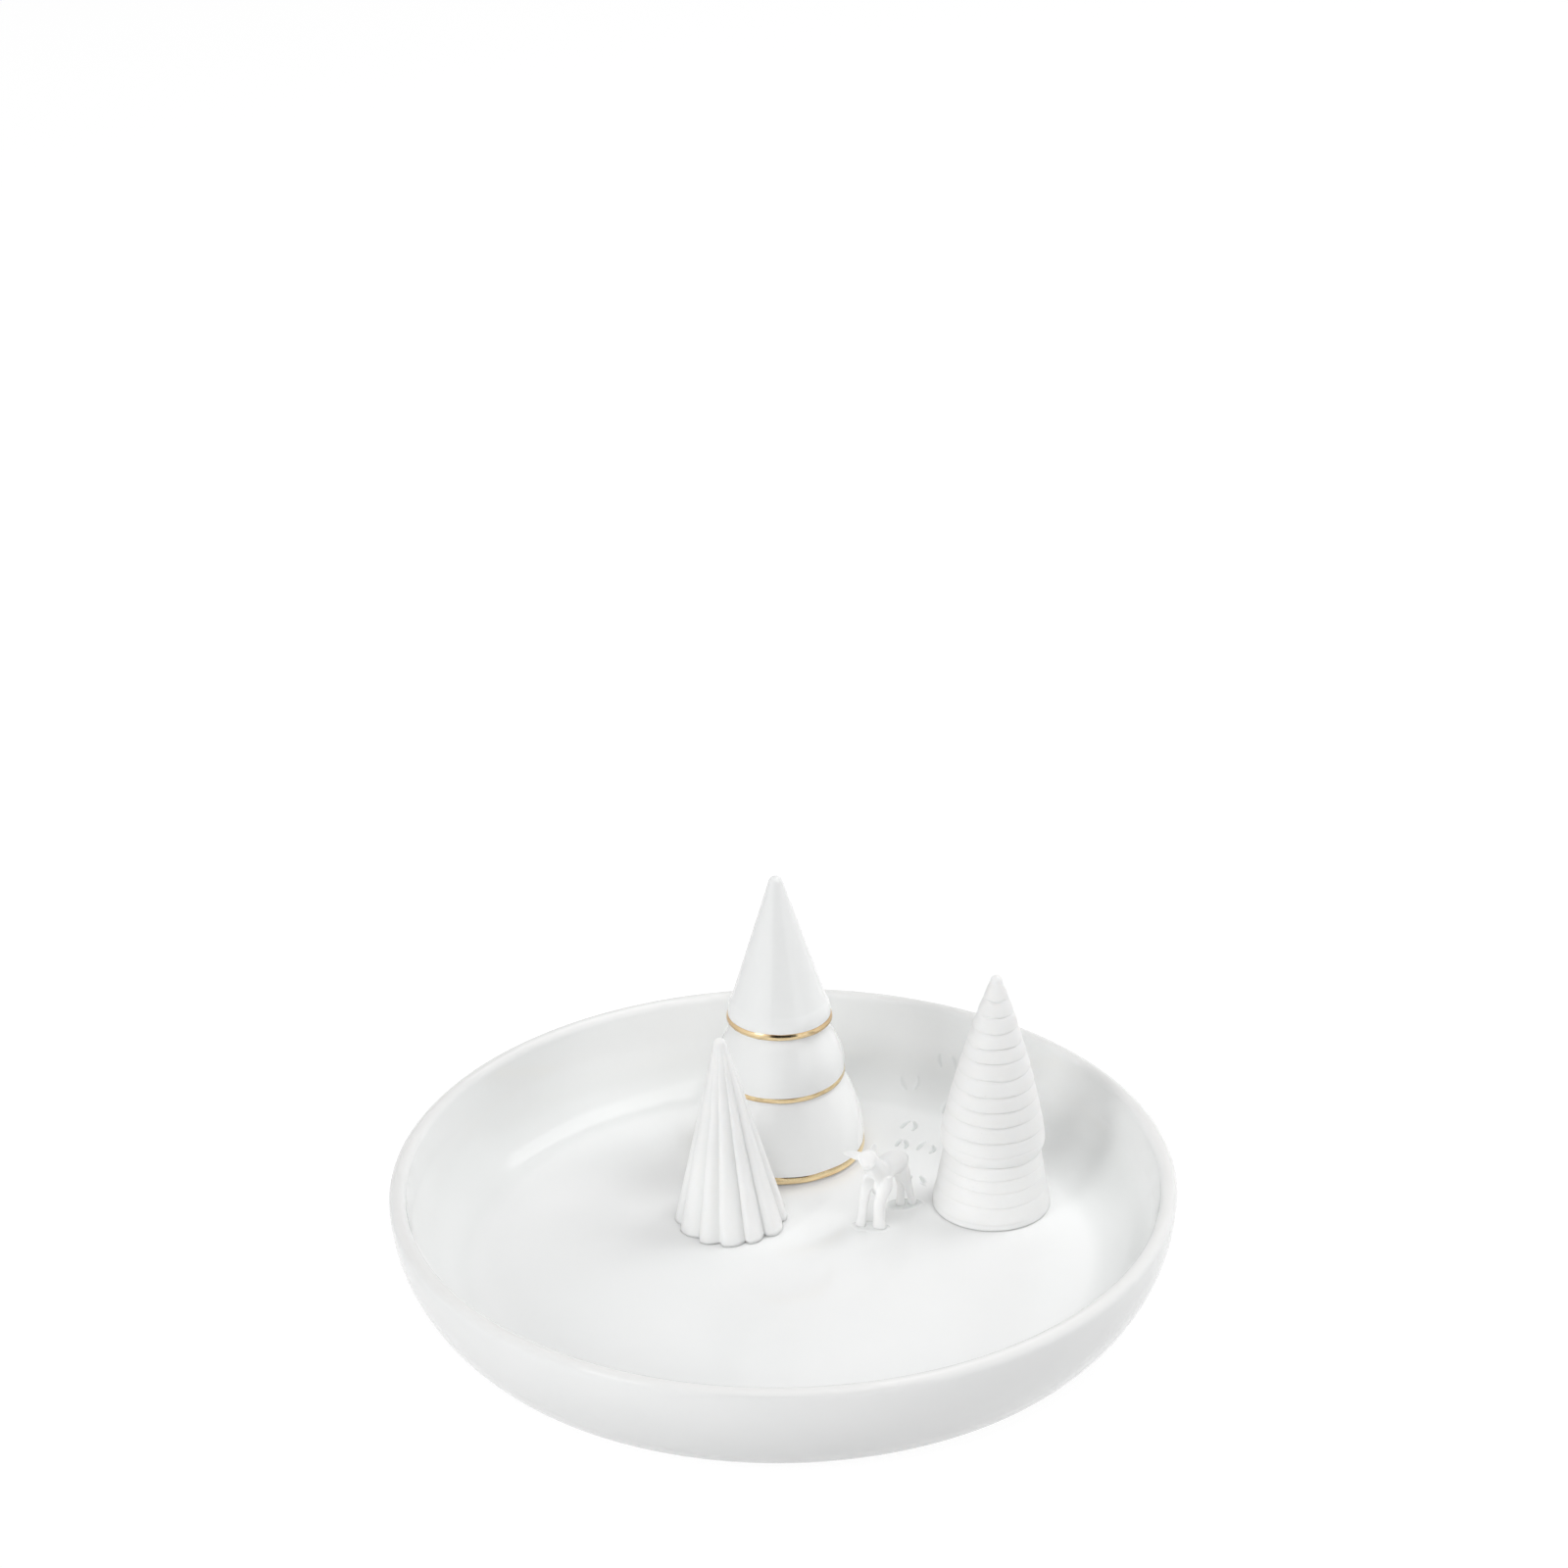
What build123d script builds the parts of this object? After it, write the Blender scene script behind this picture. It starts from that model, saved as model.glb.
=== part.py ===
from build123d import *
import math
import os

# Ring dish: a round porcelain dish in which three fir trees and a fawn stand.
# Rings drop over the trees and small things lie on the floor around them.
# Lengths are in millimetres and angles in degrees. +X is the dish's right, +Y its back and +Z up.
# The origin is the centre of the dish, in the plane that its foot ring stands on.

# Dish
dish_diameter = 140.0
dish_height = 21.3
lip_thickness = 2.9
wall_draft = 0.6
cove_radius = 8.0
base_thickness = 3.4
heel_reach = 2.5
heel_radius = 8.0
foot_inset = 17.0
foot_width = 3.5
foot_height = 1.1
foot_edge_radius = 0.5

# What holds the figures: a thin ring or puddle of fired glaze between each foot and the dish
joint_thickness = 0.3
joint_bead = 0.35
joint_setback = 0.7
tree_wall = 2.2
vent_diameter = 2.0
cut_overrun = 2.0

# Tiered tree: three bells, one over the other, each with a gold line along its rim
upper_tier_height = 29.2
middle_tier_height = 11.25
lower_tier_height = 16.05
upper_rim_radius = 9.6
middle_rim_radius = 11.95
lower_rim_radius = 15.3
upper_band_width = 1.3
middle_band_width = 1.1
lower_band_width = 1.9
lower_band_lift = 0.15
band_thickness = 0.2
band_crown = 0.1
rim_step = 0.5
tiered_tip_radius = 1.35
tiered_wall_gap = 6.0
tiered_lean = -0.7
cone_foot_share = 0.14
cone_foot_radius_share = 0.924
# How a bell's side bends: (outward pull, downward pull, upright stretch over the rim)
upper_bell_shares = (0.45, 0.24, 0.43)
middle_bell_shares = (0.10, 0.35, 0.55)
lower_bell_shares = (0.30, 0.20, 0.55)
tiered_hollow_share = 0.58
tiered_hollow_tip_share = 0.16

# Fluted tree: a cone of rounded flutes, cut by hand and so not quite even
fluted_height = 37.1
fluted_foot_radius = 10.4
fluted_tip_radius = 1.15
flute_depth = 1.15
fluted_gap = 1.9
fluted_bearing = -110.4
fluted_lean = -2.2
first_flute_turn = -162.9
flute_width_shares = (345, 262, 285, 270, 327, 264, 264, 264, 264, 264, 264, 264, 264)
fluted_hollow_share = 0.78
fluted_hollow_tip_share = 0.12

# Ringed tree: a bead-turned cone that overhangs a waist, on a skirt with fainter turns
ringed_height = 46.6
ringed_foot_radius = 10.8
waist_height = 11.6
waist_radius = 8.75
overhang_radius = 9.55
overhang_drop = 1.6
ringed_tip_radius = 0.9
turn_groove = 0.22
skirt_groove = 0.1
ringed_wall_gap = 6.3
ringed_bearing = 22.5
ringed_lean = 0.5
cone_fullness_share = 0.34
cone_turn_shares = (0.108, 0.201, 0.281, 0.364, 0.452, 0.543, 0.618, 0.704, 0.786, 0.873)
skirt_turn_shares = (0.08, 0.34, 0.58, 0.79)
ringed_hollow_share = 0.78
ringed_hollow_tip_share = 0.13

# Fawn, cast solid. It walks towards the dish's front left and looks straight to the front.
fawn_length = 12.0
fawn_breadth = 2.8
fawn_height = 17.2
fawn_girth_radius = 2.5
ear_thickness = 0.7
ear_width = 1.5
fawn_gap = 2.5
fawn_bearing = -166.6
fawn_heading = -131.5
# The body and each limb run through sections (forward, left, up, half width, half height): shares of the
# fawn's length, breadth and height, and twice of its girth radius
body_shares = (
    (-0.342, -0.04, 0.587, 0.20, 0.20),
    (-0.308, -0.04, 0.587, 0.52, 0.52),
    (-0.217, -0.02, 0.593, 0.76, 0.80),
    (-0.050, 0.00, 0.608, 0.86, 0.90),
    (0.133, 0.05, 0.622, 0.92, 0.96),
    (0.283, 0.11, 0.576, 0.96, 1.06),
    (0.408, 0.12, 0.558, 0.78, 0.88),
    (0.492, 0.14, 0.552, 0.40, 0.48),
)
neck_shares = (
    (0.283, 0.11, 0.605, 0.76, 0.84),
    (0.383, 0.16, 0.709, 0.64, 0.70),
    (0.467, 0.18, 0.791, 0.54, 0.56),
    (0.508, 0.11, 0.837, 0.44, 0.44),
)
head_shares = (
    (0.428, -0.32, 0.870, 0.24, 0.24),
    (0.454, -0.23, 0.857, 0.50, 0.50),
    (0.499, -0.08, 0.834, 0.67, 0.67),
    (0.545, 0.07, 0.812, 0.64, 0.64),
    (0.591, 0.23, 0.788, 0.52, 0.52),
    (0.637, 0.38, 0.766, 0.44, 0.44),
    (0.673, 0.51, 0.748, 0.34, 0.34),
    (0.688, 0.55, 0.740, 0.20, 0.20),
)
tail_shares = (
    (-0.267, 0.00, 0.640, 0.30, 0.30),
    (-0.358, 0.00, 0.593, 0.25, 0.25),
    (-0.408, 0.00, 0.535, 0.14, 0.14),
)
front_right_leg_shares = (
    (0.358, -0.39, 0.581, 0.52, 0.52),
    (0.392, -0.46, 0.465, 0.48, 0.48),
    (0.450, -0.45, 0.262, 0.34, 0.34),
    (0.479, -0.49, 0.110, 0.31, 0.31),
    (0.488, -0.51, 0.035, 0.40, 0.40),
    (0.492, -0.51, -0.029, 0.42, 0.42),
)
front_left_leg_shares = (
    (0.275, 0.43, 0.581, 0.52, 0.52),
    (0.308, 0.57, 0.465, 0.56, 0.56),
    (0.342, 0.57, 0.262, 0.42, 0.42),
    (0.362, 0.52, 0.110, 0.36, 0.36),
    (0.370, 0.50, 0.035, 0.45, 0.45),
    (0.371, 0.50, -0.029, 0.46, 0.46),
)
hind_right_leg_shares = (
    (-0.183, -0.21, 0.593, 0.52, 0.52),
    (-0.233, -0.34, 0.477, 0.56, 0.56),
    (-0.342, -0.32, 0.285, 0.34, 0.34),
    (-0.342, -0.32, 0.128, 0.28, 0.28),
    (-0.333, -0.32, 0.035, 0.33, 0.33),
    (-0.333, -0.32, -0.029, 0.34, 0.34),
)
hind_left_leg_shares = (
    (-0.183, 0.14, 0.593, 0.48, 0.48),
    (-0.217, 0.23, 0.477, 0.52, 0.52),
    (-0.367, 0.29, 0.279, 0.34, 0.34),
    (-0.450, 0.30, 0.128, 0.28, 0.28),
    (-0.496, 0.31, 0.035, 0.33, 0.33),
    (-0.504, 0.31, -0.029, 0.34, 0.34),
)
# An ear is (root, tip), each of (forward, left, up)
ear_shares = (((0.53, -0.20, 0.830), (0.69, -1.52, 0.873)), ((0.49, 0.10, 0.830), (0.30, 0.10, 0.985)))

# Hoof prints, pressed into the floor, the cove and the wall. Each is two toes.
toe_length = 3.0
toe_width = 0.7
toe_gap = 1.7
print_depth = 0.35
toe_inner_share = 0.25
# (bearing on the dish, heading), in degrees, and the reach from the centre as a share of the floor radius
print_places_shares = (
    (61.0, 4.0, 1.180),
    (66.8, 12.0, 1.085),
    (57.0, -12.0, 1.024),
    (61.1, -18.0, 0.864),
    (52.6, -25.0, 0.768),
    (58.7, -11.0, 0.740),
    (43.0, -8.0, 0.596),
)

# Worked out from the sizes above
dish_radius = dish_diameter / 2
lip_radius = lip_thickness / 2
lip_centre_height = dish_height - lip_radius
floor_radius = dish_radius - lip_thickness - wall_draft - cove_radius
floor_height = foot_height + base_thickness
seat_height = floor_height + joint_thickness
foot_radius = dish_radius - foot_inset
heel_corner_radius = floor_radius + heel_reach
cove_centre = Vector(floor_radius, floor_height + cove_radius)
lip_inner = Vector(dish_radius - lip_thickness, lip_centre_height)
to_lip = lip_inner - cove_centre
# The wall's inside runs tangent from the cove up to the lip, so this is how far round the cove goes
cove_sweep = math.degrees(math.atan2(to_lip.Y, to_lip.X) - math.acos(cove_radius / to_lip.length)) + 90

tiered_height = upper_tier_height + middle_tier_height + lower_tier_height
upper_rim_height = middle_tier_height + lower_tier_height
middle_rim_height = lower_tier_height


def bearing_point(centre, bearing, distance):
    """The point at a distance from a centre, on a bearing that is measured from +X."""
    angle = math.radians(bearing)
    return Vector(centre.X + distance * math.cos(angle), centre.Y + distance * math.sin(angle), centre.Z)


def section_plane(place, lean):
    """An upright plane through a tree's foot, with its own X outwards and its Y up the leaning axis."""
    angle = math.radians(lean)
    return Plane(
        origin=(place.X, place.Y, seat_height),
        x_dir=(math.cos(angle), 0, -math.sin(angle)),
        z_dir=(0, -1, 0),
    )


def axis_of(plane):
    return Axis(plane.origin, plane.y_dir)


def cross_plane(plane, height):
    """The plane square to a tree's axis at a height above its foot."""
    return Plane(origin=plane.origin + plane.y_dir * height, x_dir=plane.x_dir, z_dir=plane.y_dir)


# Places of the figures on the floor
dish_centre = Vector(0, 0, 0)
tiered_place = bearing_point(dish_centre, 90, floor_radius - lower_rim_radius - tiered_wall_gap)
fluted_place = bearing_point(
    tiered_place, fluted_bearing, lower_rim_radius + fluted_foot_radius + fluted_gap
)
ringed_place = bearing_point(
    dish_centre, ringed_bearing, floor_radius - ringed_foot_radius - ringed_wall_gap
)
fawn_place = bearing_point(
    ringed_place, fawn_bearing, ringed_foot_radius + fawn_length / 2 + fawn_gap
)
tiered_plane = section_plane(tiered_place, tiered_lean)
fluted_plane = section_plane(fluted_place, fluted_lean)
ringed_plane = section_plane(ringed_place, ringed_lean)
seat_plane = Plane.XY.offset(seat_height)


def print_plane(bearing, heading, reach):
    """The plane that touches the dish's inside where a print lies, with its Y up or back along the print."""
    sweep = min(max(reach - floor_radius, 0) / cove_radius, math.radians(cove_sweep))
    radius = min(reach, floor_radius) + cove_radius * math.sin(sweep)
    height = floor_height + cove_radius * (1 - math.cos(sweep))
    outward = bearing_point(dish_centre, bearing, 1)
    normal = Vector(0, 0, math.cos(sweep)) - outward * math.sin(sweep)
    along = outward * math.cos(sweep) + Vector(0, 0, math.sin(sweep))
    across = along.cross(normal)
    # the print's own heading is measured from straight back, not from the outward line
    turn = math.radians(90 - bearing + heading)
    x_dir = across * math.cos(turn) + along * math.sin(turn)
    return Plane(origin=outward * radius + Vector(0, 0, height), x_dir=x_dir, z_dir=normal)


# Dish: foot ring, heel, upright wall with a rounded lip, cove and flat floor
with BuildPart() as dish:
    with BuildSketch(Plane.XZ) as dish_section:
        with BuildLine():
            underside = Line((0, foot_height), (heel_corner_radius, foot_height))
            TangentArc((dish_radius, lip_centre_height), (heel_corner_radius, foot_height), tangent=(0, -1))
            ThreePointArc(
                (dish_radius, lip_centre_height),
                (dish_radius - lip_radius, dish_height),
                (lip_inner.X, lip_inner.Y),
            )
            cove = CenterArc((cove_centre.X, cove_centre.Y), cove_radius, -90, cove_sweep)
            Line((lip_inner.X, lip_inner.Y), cove @ 1)
            Line(cove @ 0, (0, floor_height))
            Line((0, floor_height), underside @ 0)
        make_face()
        heel = dish_section.vertices().sort_by_distance(underside @ 1)[0]
        fillet(heel, radius=min(heel_radius, heel_corner_radius - foot_radius))
    revolve(axis=Axis.Z)
    with BuildSketch(Plane.XZ) as foot_section:
        with BuildLine():
            Polyline(
                (foot_radius - foot_width, 0),
                (foot_radius, 0),
                (foot_radius, foot_height + base_thickness / 2),
                (foot_radius - foot_width, foot_height + base_thickness / 2),
                close=True,
            )
        make_face()
        fillet(foot_section.vertices().group_by(Axis.Z)[0], radius=foot_edge_radius)
    revolve(axis=Axis.Z)
    # one small vent under each hollow tree lets its air out in the kiln
    for place in (tiered_place, fluted_place, ringed_place):
        with Locations((place.X, place.Y, floor_height)):
            Hole(vent_diameter / 2, depth=floor_height + cut_overrun)
    # the trail of hoof prints comes down the wall and crosses the floor to the fawn
    for bearing, heading, reach_share in print_places_shares:
        toe_plane = print_plane(bearing, heading, reach_share * floor_radius)
        with BuildSketch(toe_plane.offset(cut_overrun)):
            for side in (-1, 1):
                root = side * toe_gap / 2
                with BuildLine():
                    ThreePointArc(
                        (root, -toe_length / 2),
                        (root + side * toe_width * (1 + toe_inner_share), 0),
                        (root, toe_length / 2),
                    )
                    ThreePointArc(
                        (root, -toe_length / 2),
                        (root + side * toe_width * toe_inner_share, 0),
                        (root, toe_length / 2),
                    )
                make_face()
        extrude(amount=-(cut_overrun + print_depth), mode=Mode.SUBTRACT)
dish.part.label = "dish"


def tip_round(height, radius, slope):
    """A round tip at the top of a section, down to where it runs into a side that slopes out."""
    centre = height - radius
    angle = math.atan(slope)
    shoulder = (radius * math.cos(angle), centre + radius * math.sin(angle))
    middle = (math.pi / 2 + angle) / 2
    ThreePointArc(
        (0, height),
        (radius * math.cos(middle), centre + radius * math.sin(middle)),
        shoulder,
    )
    return shoulder


def bell_side(top, rim, bell_shares):
    """One bell's side in section: it slopes out from its top and falls upright into its rim."""
    reach, drop = rim[0] - top[0], top[1] - rim[1]
    outward_share, downward_share, upright_share = bell_shares
    Bezier(
        top,
        (top[0] + outward_share * reach, top[1] - downward_share * drop),
        (rim[0], rim[1] + upright_share * drop),
        rim,
    )


def rim_recess(radius, low, width, step):
    """The seat of a gold line along a rim, and the step back under it to the next bell."""
    Polyline(
        (radius, low + width),
        (radius - band_thickness, low + width),
        (radius - band_thickness, low),
        (radius - step, low),
    )


# Tiered tree: slip-cast, glazed and open underneath
cone_foot = (
    upper_rim_radius * cone_foot_radius_share,
    upper_rim_height + upper_tier_height * cone_foot_share,
)
cone_slope = (cone_foot[0] - tiered_tip_radius) / (tiered_height - tiered_tip_radius - cone_foot[1])
with BuildPart() as tiered_tree:
    with BuildSketch(tiered_plane):
        with BuildLine():
            tip_shoulder = tip_round(tiered_height, tiered_tip_radius, cone_slope)
            Line(tip_shoulder, cone_foot)
            bell_side(cone_foot, (upper_rim_radius, upper_rim_height + upper_band_width), upper_bell_shares)
            rim_recess(upper_rim_radius, upper_rim_height, upper_band_width, rim_step)
            bell_side(
                (upper_rim_radius - rim_step, upper_rim_height),
                (middle_rim_radius, middle_rim_height + middle_band_width),
                middle_bell_shares,
            )
            rim_recess(middle_rim_radius, middle_rim_height, middle_band_width, rim_step)
            bell_side(
                (middle_rim_radius - rim_step, middle_rim_height),
                (lower_rim_radius, lower_band_lift + lower_band_width),
                lower_bell_shares,
            )
            rim_recess(lower_rim_radius, lower_band_lift, lower_band_width, rim_step)
            Polyline(
                (lower_rim_radius - rim_step, lower_band_lift),
                (lower_rim_radius - rim_step, -cut_overrun),
                (0, -cut_overrun),
                (0, tiered_height),
            )
        make_face()
    revolve(axis=axis_of(tiered_plane))
    with BuildSketch(tiered_plane):
        with BuildLine():
            Polyline(
                (0, -cut_overrun * 2),
                (lower_rim_radius - rim_step - tree_wall, -cut_overrun * 2),
                (lower_rim_radius - rim_step - tree_wall, lower_band_width),
                (middle_rim_radius - rim_step - tree_wall, middle_rim_height),
                (upper_rim_radius - rim_step - tree_wall, upper_rim_height),
                (
                    upper_rim_radius * tiered_hollow_tip_share,
                    upper_rim_height + upper_tier_height * tiered_hollow_share,
                ),
                (0, upper_rim_height + upper_tier_height * tiered_hollow_share),
                close=True,
            )
        make_face()
    revolve(axis=axis_of(tiered_plane), mode=Mode.SUBTRACT)
    split(bisect_by=seat_plane, keep=Keep.TOP)
tiered_tree.part.label = "tiered_tree"


def band_section(radius, low, width):
    """A gold line in section: flat against the rim, and crowned outside."""
    Polyline(
        (radius, low + width),
        (radius - band_thickness, low + width),
        (radius - band_thickness, low),
        (radius, low),
    )
    ThreePointArc((radius, low), (radius + band_crown, low + width / 2), (radius, low + width))


# Gold lines: fired lustre along the three rims
with BuildPart() as gold_band_upper:
    with BuildSketch(tiered_plane):
        with BuildLine():
            band_section(upper_rim_radius, upper_rim_height, upper_band_width)
        make_face()
    revolve(axis=axis_of(tiered_plane))
gold_band_upper.part.label = "gold_band_upper"

with BuildPart() as gold_band_middle:
    with BuildSketch(tiered_plane):
        with BuildLine():
            band_section(middle_rim_radius, middle_rim_height, middle_band_width)
        make_face()
    revolve(axis=axis_of(tiered_plane))
gold_band_middle.part.label = "gold_band_middle"

with BuildPart() as gold_band_lower:
    with BuildSketch(tiered_plane):
        with BuildLine():
            band_section(lower_rim_radius, lower_band_lift, lower_band_width)
        make_face()
    revolve(axis=axis_of(tiered_plane))
    split(bisect_by=seat_plane, keep=Keep.TOP)
gold_band_lower.part.label = "gold_band_lower"


def fluted_outline(ridge_radius, valley_radius):
    """A ring of rounded flutes that meet in sharp valleys."""
    turn = math.radians(first_flute_turn)
    for width in flute_width_shares:
        sweep = 2 * math.pi * width / sum(flute_width_shares)
        ThreePointArc(
            (valley_radius * math.cos(turn), valley_radius * math.sin(turn)),
            (ridge_radius * math.cos(turn + sweep / 2), ridge_radius * math.sin(turn + sweep / 2)),
            (valley_radius * math.cos(turn + sweep), valley_radius * math.sin(turn + sweep)),
        )
        turn += sweep


# Fluted tree: unglazed, hollow and open underneath
fluted_slope = (fluted_foot_radius - fluted_tip_radius) / (fluted_height - fluted_tip_radius)
fluted_top_height = fluted_height - fluted_tip_radius
fluted_below_radius = fluted_foot_radius + cut_overrun * fluted_slope
with BuildPart() as fluted_tree:
    for level, radius in ((-cut_overrun, fluted_below_radius), (fluted_top_height, fluted_tip_radius)):
        with BuildSketch(cross_plane(fluted_plane, level)):
            with BuildLine():
                fluted_outline(radius, radius * (1 - flute_depth / fluted_foot_radius))
            make_face()
    loft(ruled=True)
    with Locations(cross_plane(fluted_plane, fluted_top_height)):
        Sphere(fluted_tip_radius)
    with BuildSketch(fluted_plane):
        with BuildLine():
            Polyline(
                (0, -cut_overrun * 2),
                (fluted_foot_radius - flute_depth - tree_wall, -cut_overrun * 2),
                (fluted_foot_radius - flute_depth - tree_wall, 0),
                (fluted_foot_radius * fluted_hollow_tip_share, fluted_height * fluted_hollow_share),
                (0, fluted_height * fluted_hollow_share),
                close=True,
            )
        make_face()
    revolve(axis=axis_of(fluted_plane), mode=Mode.SUBTRACT)
    split(bisect_by=seat_plane, keep=Keep.TOP)
fluted_tree.part.label = "fluted_tree"


def turned_side(stations, groove):
    """A side of round turns: an arc from each station to the next, each station drawn in as a groove."""
    for (low_radius, low), (high_radius, high) in zip(stations, stations[1:]):
        ThreePointArc(
            (low_radius - groove, low),
            ((low_radius + high_radius) / 2, (low + high) / 2),
            (high_radius - groove, high),
        )


# Ringed tree: unglazed, hollow and open underneath
cone_height = ringed_height - waist_height


def cone_station(share):
    """Radius and height at a share of the way from the overhang up to the tip."""
    radius = overhang_radius * (1 - share) * (1 + cone_fullness_share * share)
    height = waist_height + overhang_drop + share * (cone_height - overhang_drop)
    return radius, height


def skirt_station(share):
    """Radius and height at a share of the way from the foot up to the waist."""
    return ringed_foot_radius + (waist_radius - ringed_foot_radius) * share, waist_height * share


cone_stations = [cone_station(share) for share in (0, *cone_turn_shares)]
skirt_stations = [skirt_station(share) for share in (*skirt_turn_shares, 1)]
last_radius, last_height = cone_stations[-1]
tip_slope = (last_radius - ringed_tip_radius) / (ringed_height - ringed_tip_radius - last_height)
with BuildPart() as ringed_tree:
    with BuildSketch(ringed_plane):
        with BuildLine():
            ringed_shoulder = tip_round(ringed_height, ringed_tip_radius, tip_slope)
            Line(ringed_shoulder, (last_radius - turn_groove, last_height))
            turned_side(cone_stations, turn_groove)
            Line(
                (overhang_radius - turn_groove, waist_height + overhang_drop),
                (waist_radius - skirt_groove, waist_height),
            )
            turned_side(skirt_stations, skirt_groove)
            foot_turn = (skirt_stations[0][0] - skirt_groove, skirt_stations[0][1])
            Polyline(
                foot_turn,
                (ringed_foot_radius, 0),
                (ringed_foot_radius, -cut_overrun),
                (0, -cut_overrun),
                (0, ringed_height),
            )
        make_face()
    revolve(axis=axis_of(ringed_plane))
    with BuildSketch(ringed_plane):
        with BuildLine():
            Polyline(
                (0, -cut_overrun * 2),
                (ringed_foot_radius - tree_wall, -cut_overrun * 2),
                (ringed_foot_radius - tree_wall, 0),
                (waist_radius - tree_wall, waist_height),
                (ringed_foot_radius * ringed_hollow_tip_share, ringed_height * ringed_hollow_share),
                (0, ringed_height * ringed_hollow_share),
                close=True,
            )
        make_face()
    revolve(axis=axis_of(ringed_plane), mode=Mode.SUBTRACT)
    split(bisect_by=seat_plane, keep=Keep.TOP)
ringed_tree.part.label = "ringed_tree"

# Fawn
fawn_angle = math.radians(fawn_heading)
fawn_plane = Plane(
    origin=(fawn_place.X, fawn_place.Y, seat_height),
    x_dir=(math.cos(fawn_angle), math.sin(fawn_angle), 0),
    z_dir=(0, 0, 1),
)


def fawn_point(forward, left, up):
    return fawn_plane.from_local_coords(
        Vector(forward * fawn_length, left * fawn_breadth, up * fawn_height)
    )


fawn_chains = (
    body_shares,
    neck_shares,
    head_shares,
    tail_shares,
    front_right_leg_shares,
    front_left_leg_shares,
    hind_right_leg_shares,
    hind_left_leg_shares,
)
with BuildPart() as fawn:
    for chain_shares in fawn_chains:
        chain_facing = fawn_point(*chain_shares[-1][:3]) - fawn_point(*chain_shares[0][:3])
        for forward, left, up, half_width, half_height in chain_shares:
            middle = fawn_point(forward, left, up)
            with BuildSketch(Plane(origin=middle, x_dir=fawn_plane.y_dir, z_dir=chain_facing)):
                Ellipse(half_width * fawn_girth_radius, half_height * fawn_girth_radius)
        loft()
    for root_shares, end_shares in ear_shares:
        root, end = fawn_point(*root_shares), fawn_point(*end_shares)
        length = (end - root).length
        ear_facing = (end - root).cross(Vector(0, 0, 1)).cross(end - root)
        with BuildSketch(Plane(origin=root, x_dir=end - root, z_dir=ear_facing)):
            with BuildLine():
                ThreePointArc((0, 0), (length / 2, ear_width / 2), (length, 0))
                ThreePointArc((0, 0), (length / 2, -ear_width / 2), (length, 0))
            make_face()
        extrude(amount=ear_thickness / 2, both=True)
    split(bisect_by=seat_plane, keep=Keep.TOP)
fawn.part.label = "fawn"


def glaze_section(inner_radius, outer_radius):
    """A glaze ring in section: it slopes out on the floor from under the edge of a foot."""
    Polyline(
        (inner_radius, 0),
        (outer_radius + joint_bead, 0),
        (outer_radius, joint_thickness),
        (inner_radius, joint_thickness),
        close=True,
    )


def floor_section_plane(place):
    """An upright plane on the floor, with its own X outwards and its Y up."""
    return Plane(origin=(place.X, place.Y, floor_height), x_dir=(1, 0, 0), z_dir=(0, -1, 0))


# Glaze joints: a ring under each tree, and a puddle under each pair of the fawn's hooves
with BuildPart() as tiered_tree_joint:
    with BuildSketch(floor_section_plane(tiered_place)):
        with BuildLine():
            glaze_section(lower_rim_radius - rim_step - tree_wall, lower_rim_radius)
        make_face()
    revolve(axis=axis_of(floor_section_plane(tiered_place)))
tiered_tree_joint.part.label = "tiered_tree_joint"

fluted_foot_inside = fluted_foot_radius - flute_depth - tree_wall
with BuildPart() as fluted_tree_joint:
    with BuildSketch(floor_section_plane(fluted_place)):
        with BuildLine():
            glaze_section(fluted_foot_inside, fluted_foot_inside + tree_wall - joint_setback)
        make_face()
    revolve(axis=axis_of(floor_section_plane(fluted_place)))
fluted_tree_joint.part.label = "fluted_tree_joint"

with BuildPart() as ringed_tree_joint:
    with BuildSketch(floor_section_plane(ringed_place)):
        with BuildLine():
            glaze_section(ringed_foot_radius - tree_wall, ringed_foot_radius - joint_setback)
        make_face()
    revolve(axis=axis_of(floor_section_plane(ringed_place)))
ringed_tree_joint.part.label = "ringed_tree_joint"


def hoof_line(first_leg_shares, second_leg_shares):
    """Where two hooves stand: the first one's place, the way to the second, and their radius."""
    first_forward, first_left = first_leg_shares[-1][:2]
    second_forward, second_left, _, second_half_width = second_leg_shares[-1][:4]
    first = fawn_point(first_forward, first_left, 0)
    second = fawn_point(second_forward, second_left, 0)
    place = first - Vector(0, 0, joint_thickness)
    return place, second - first, second_half_width * fawn_girth_radius


with BuildPart() as fawn_front_joint:
    hoof_place, hoof_step, hoof_radius = hoof_line(front_right_leg_shares, front_left_leg_shares)
    with BuildSketch(Plane(origin=hoof_place, x_dir=hoof_step, z_dir=(0, 0, 1))):
        with Locations((hoof_step.length / 2, 0)):
            SlotCenterToCenter(hoof_step.length, 2 * (hoof_radius + joint_bead))
    extrude(amount=joint_thickness)
fawn_front_joint.part.label = "fawn_front_joint"

with BuildPart() as fawn_hind_joint:
    hoof_place, hoof_step, hoof_radius = hoof_line(hind_right_leg_shares, hind_left_leg_shares)
    with BuildSketch(Plane(origin=hoof_place, x_dir=hoof_step, z_dir=(0, 0, 1))):
        with Locations((hoof_step.length / 2, 0)):
            SlotCenterToCenter(hoof_step.length, 2 * (hoof_radius + joint_bead))
    extrude(amount=joint_thickness)
fawn_hind_joint.part.label = "fawn_hind_joint"

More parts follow.
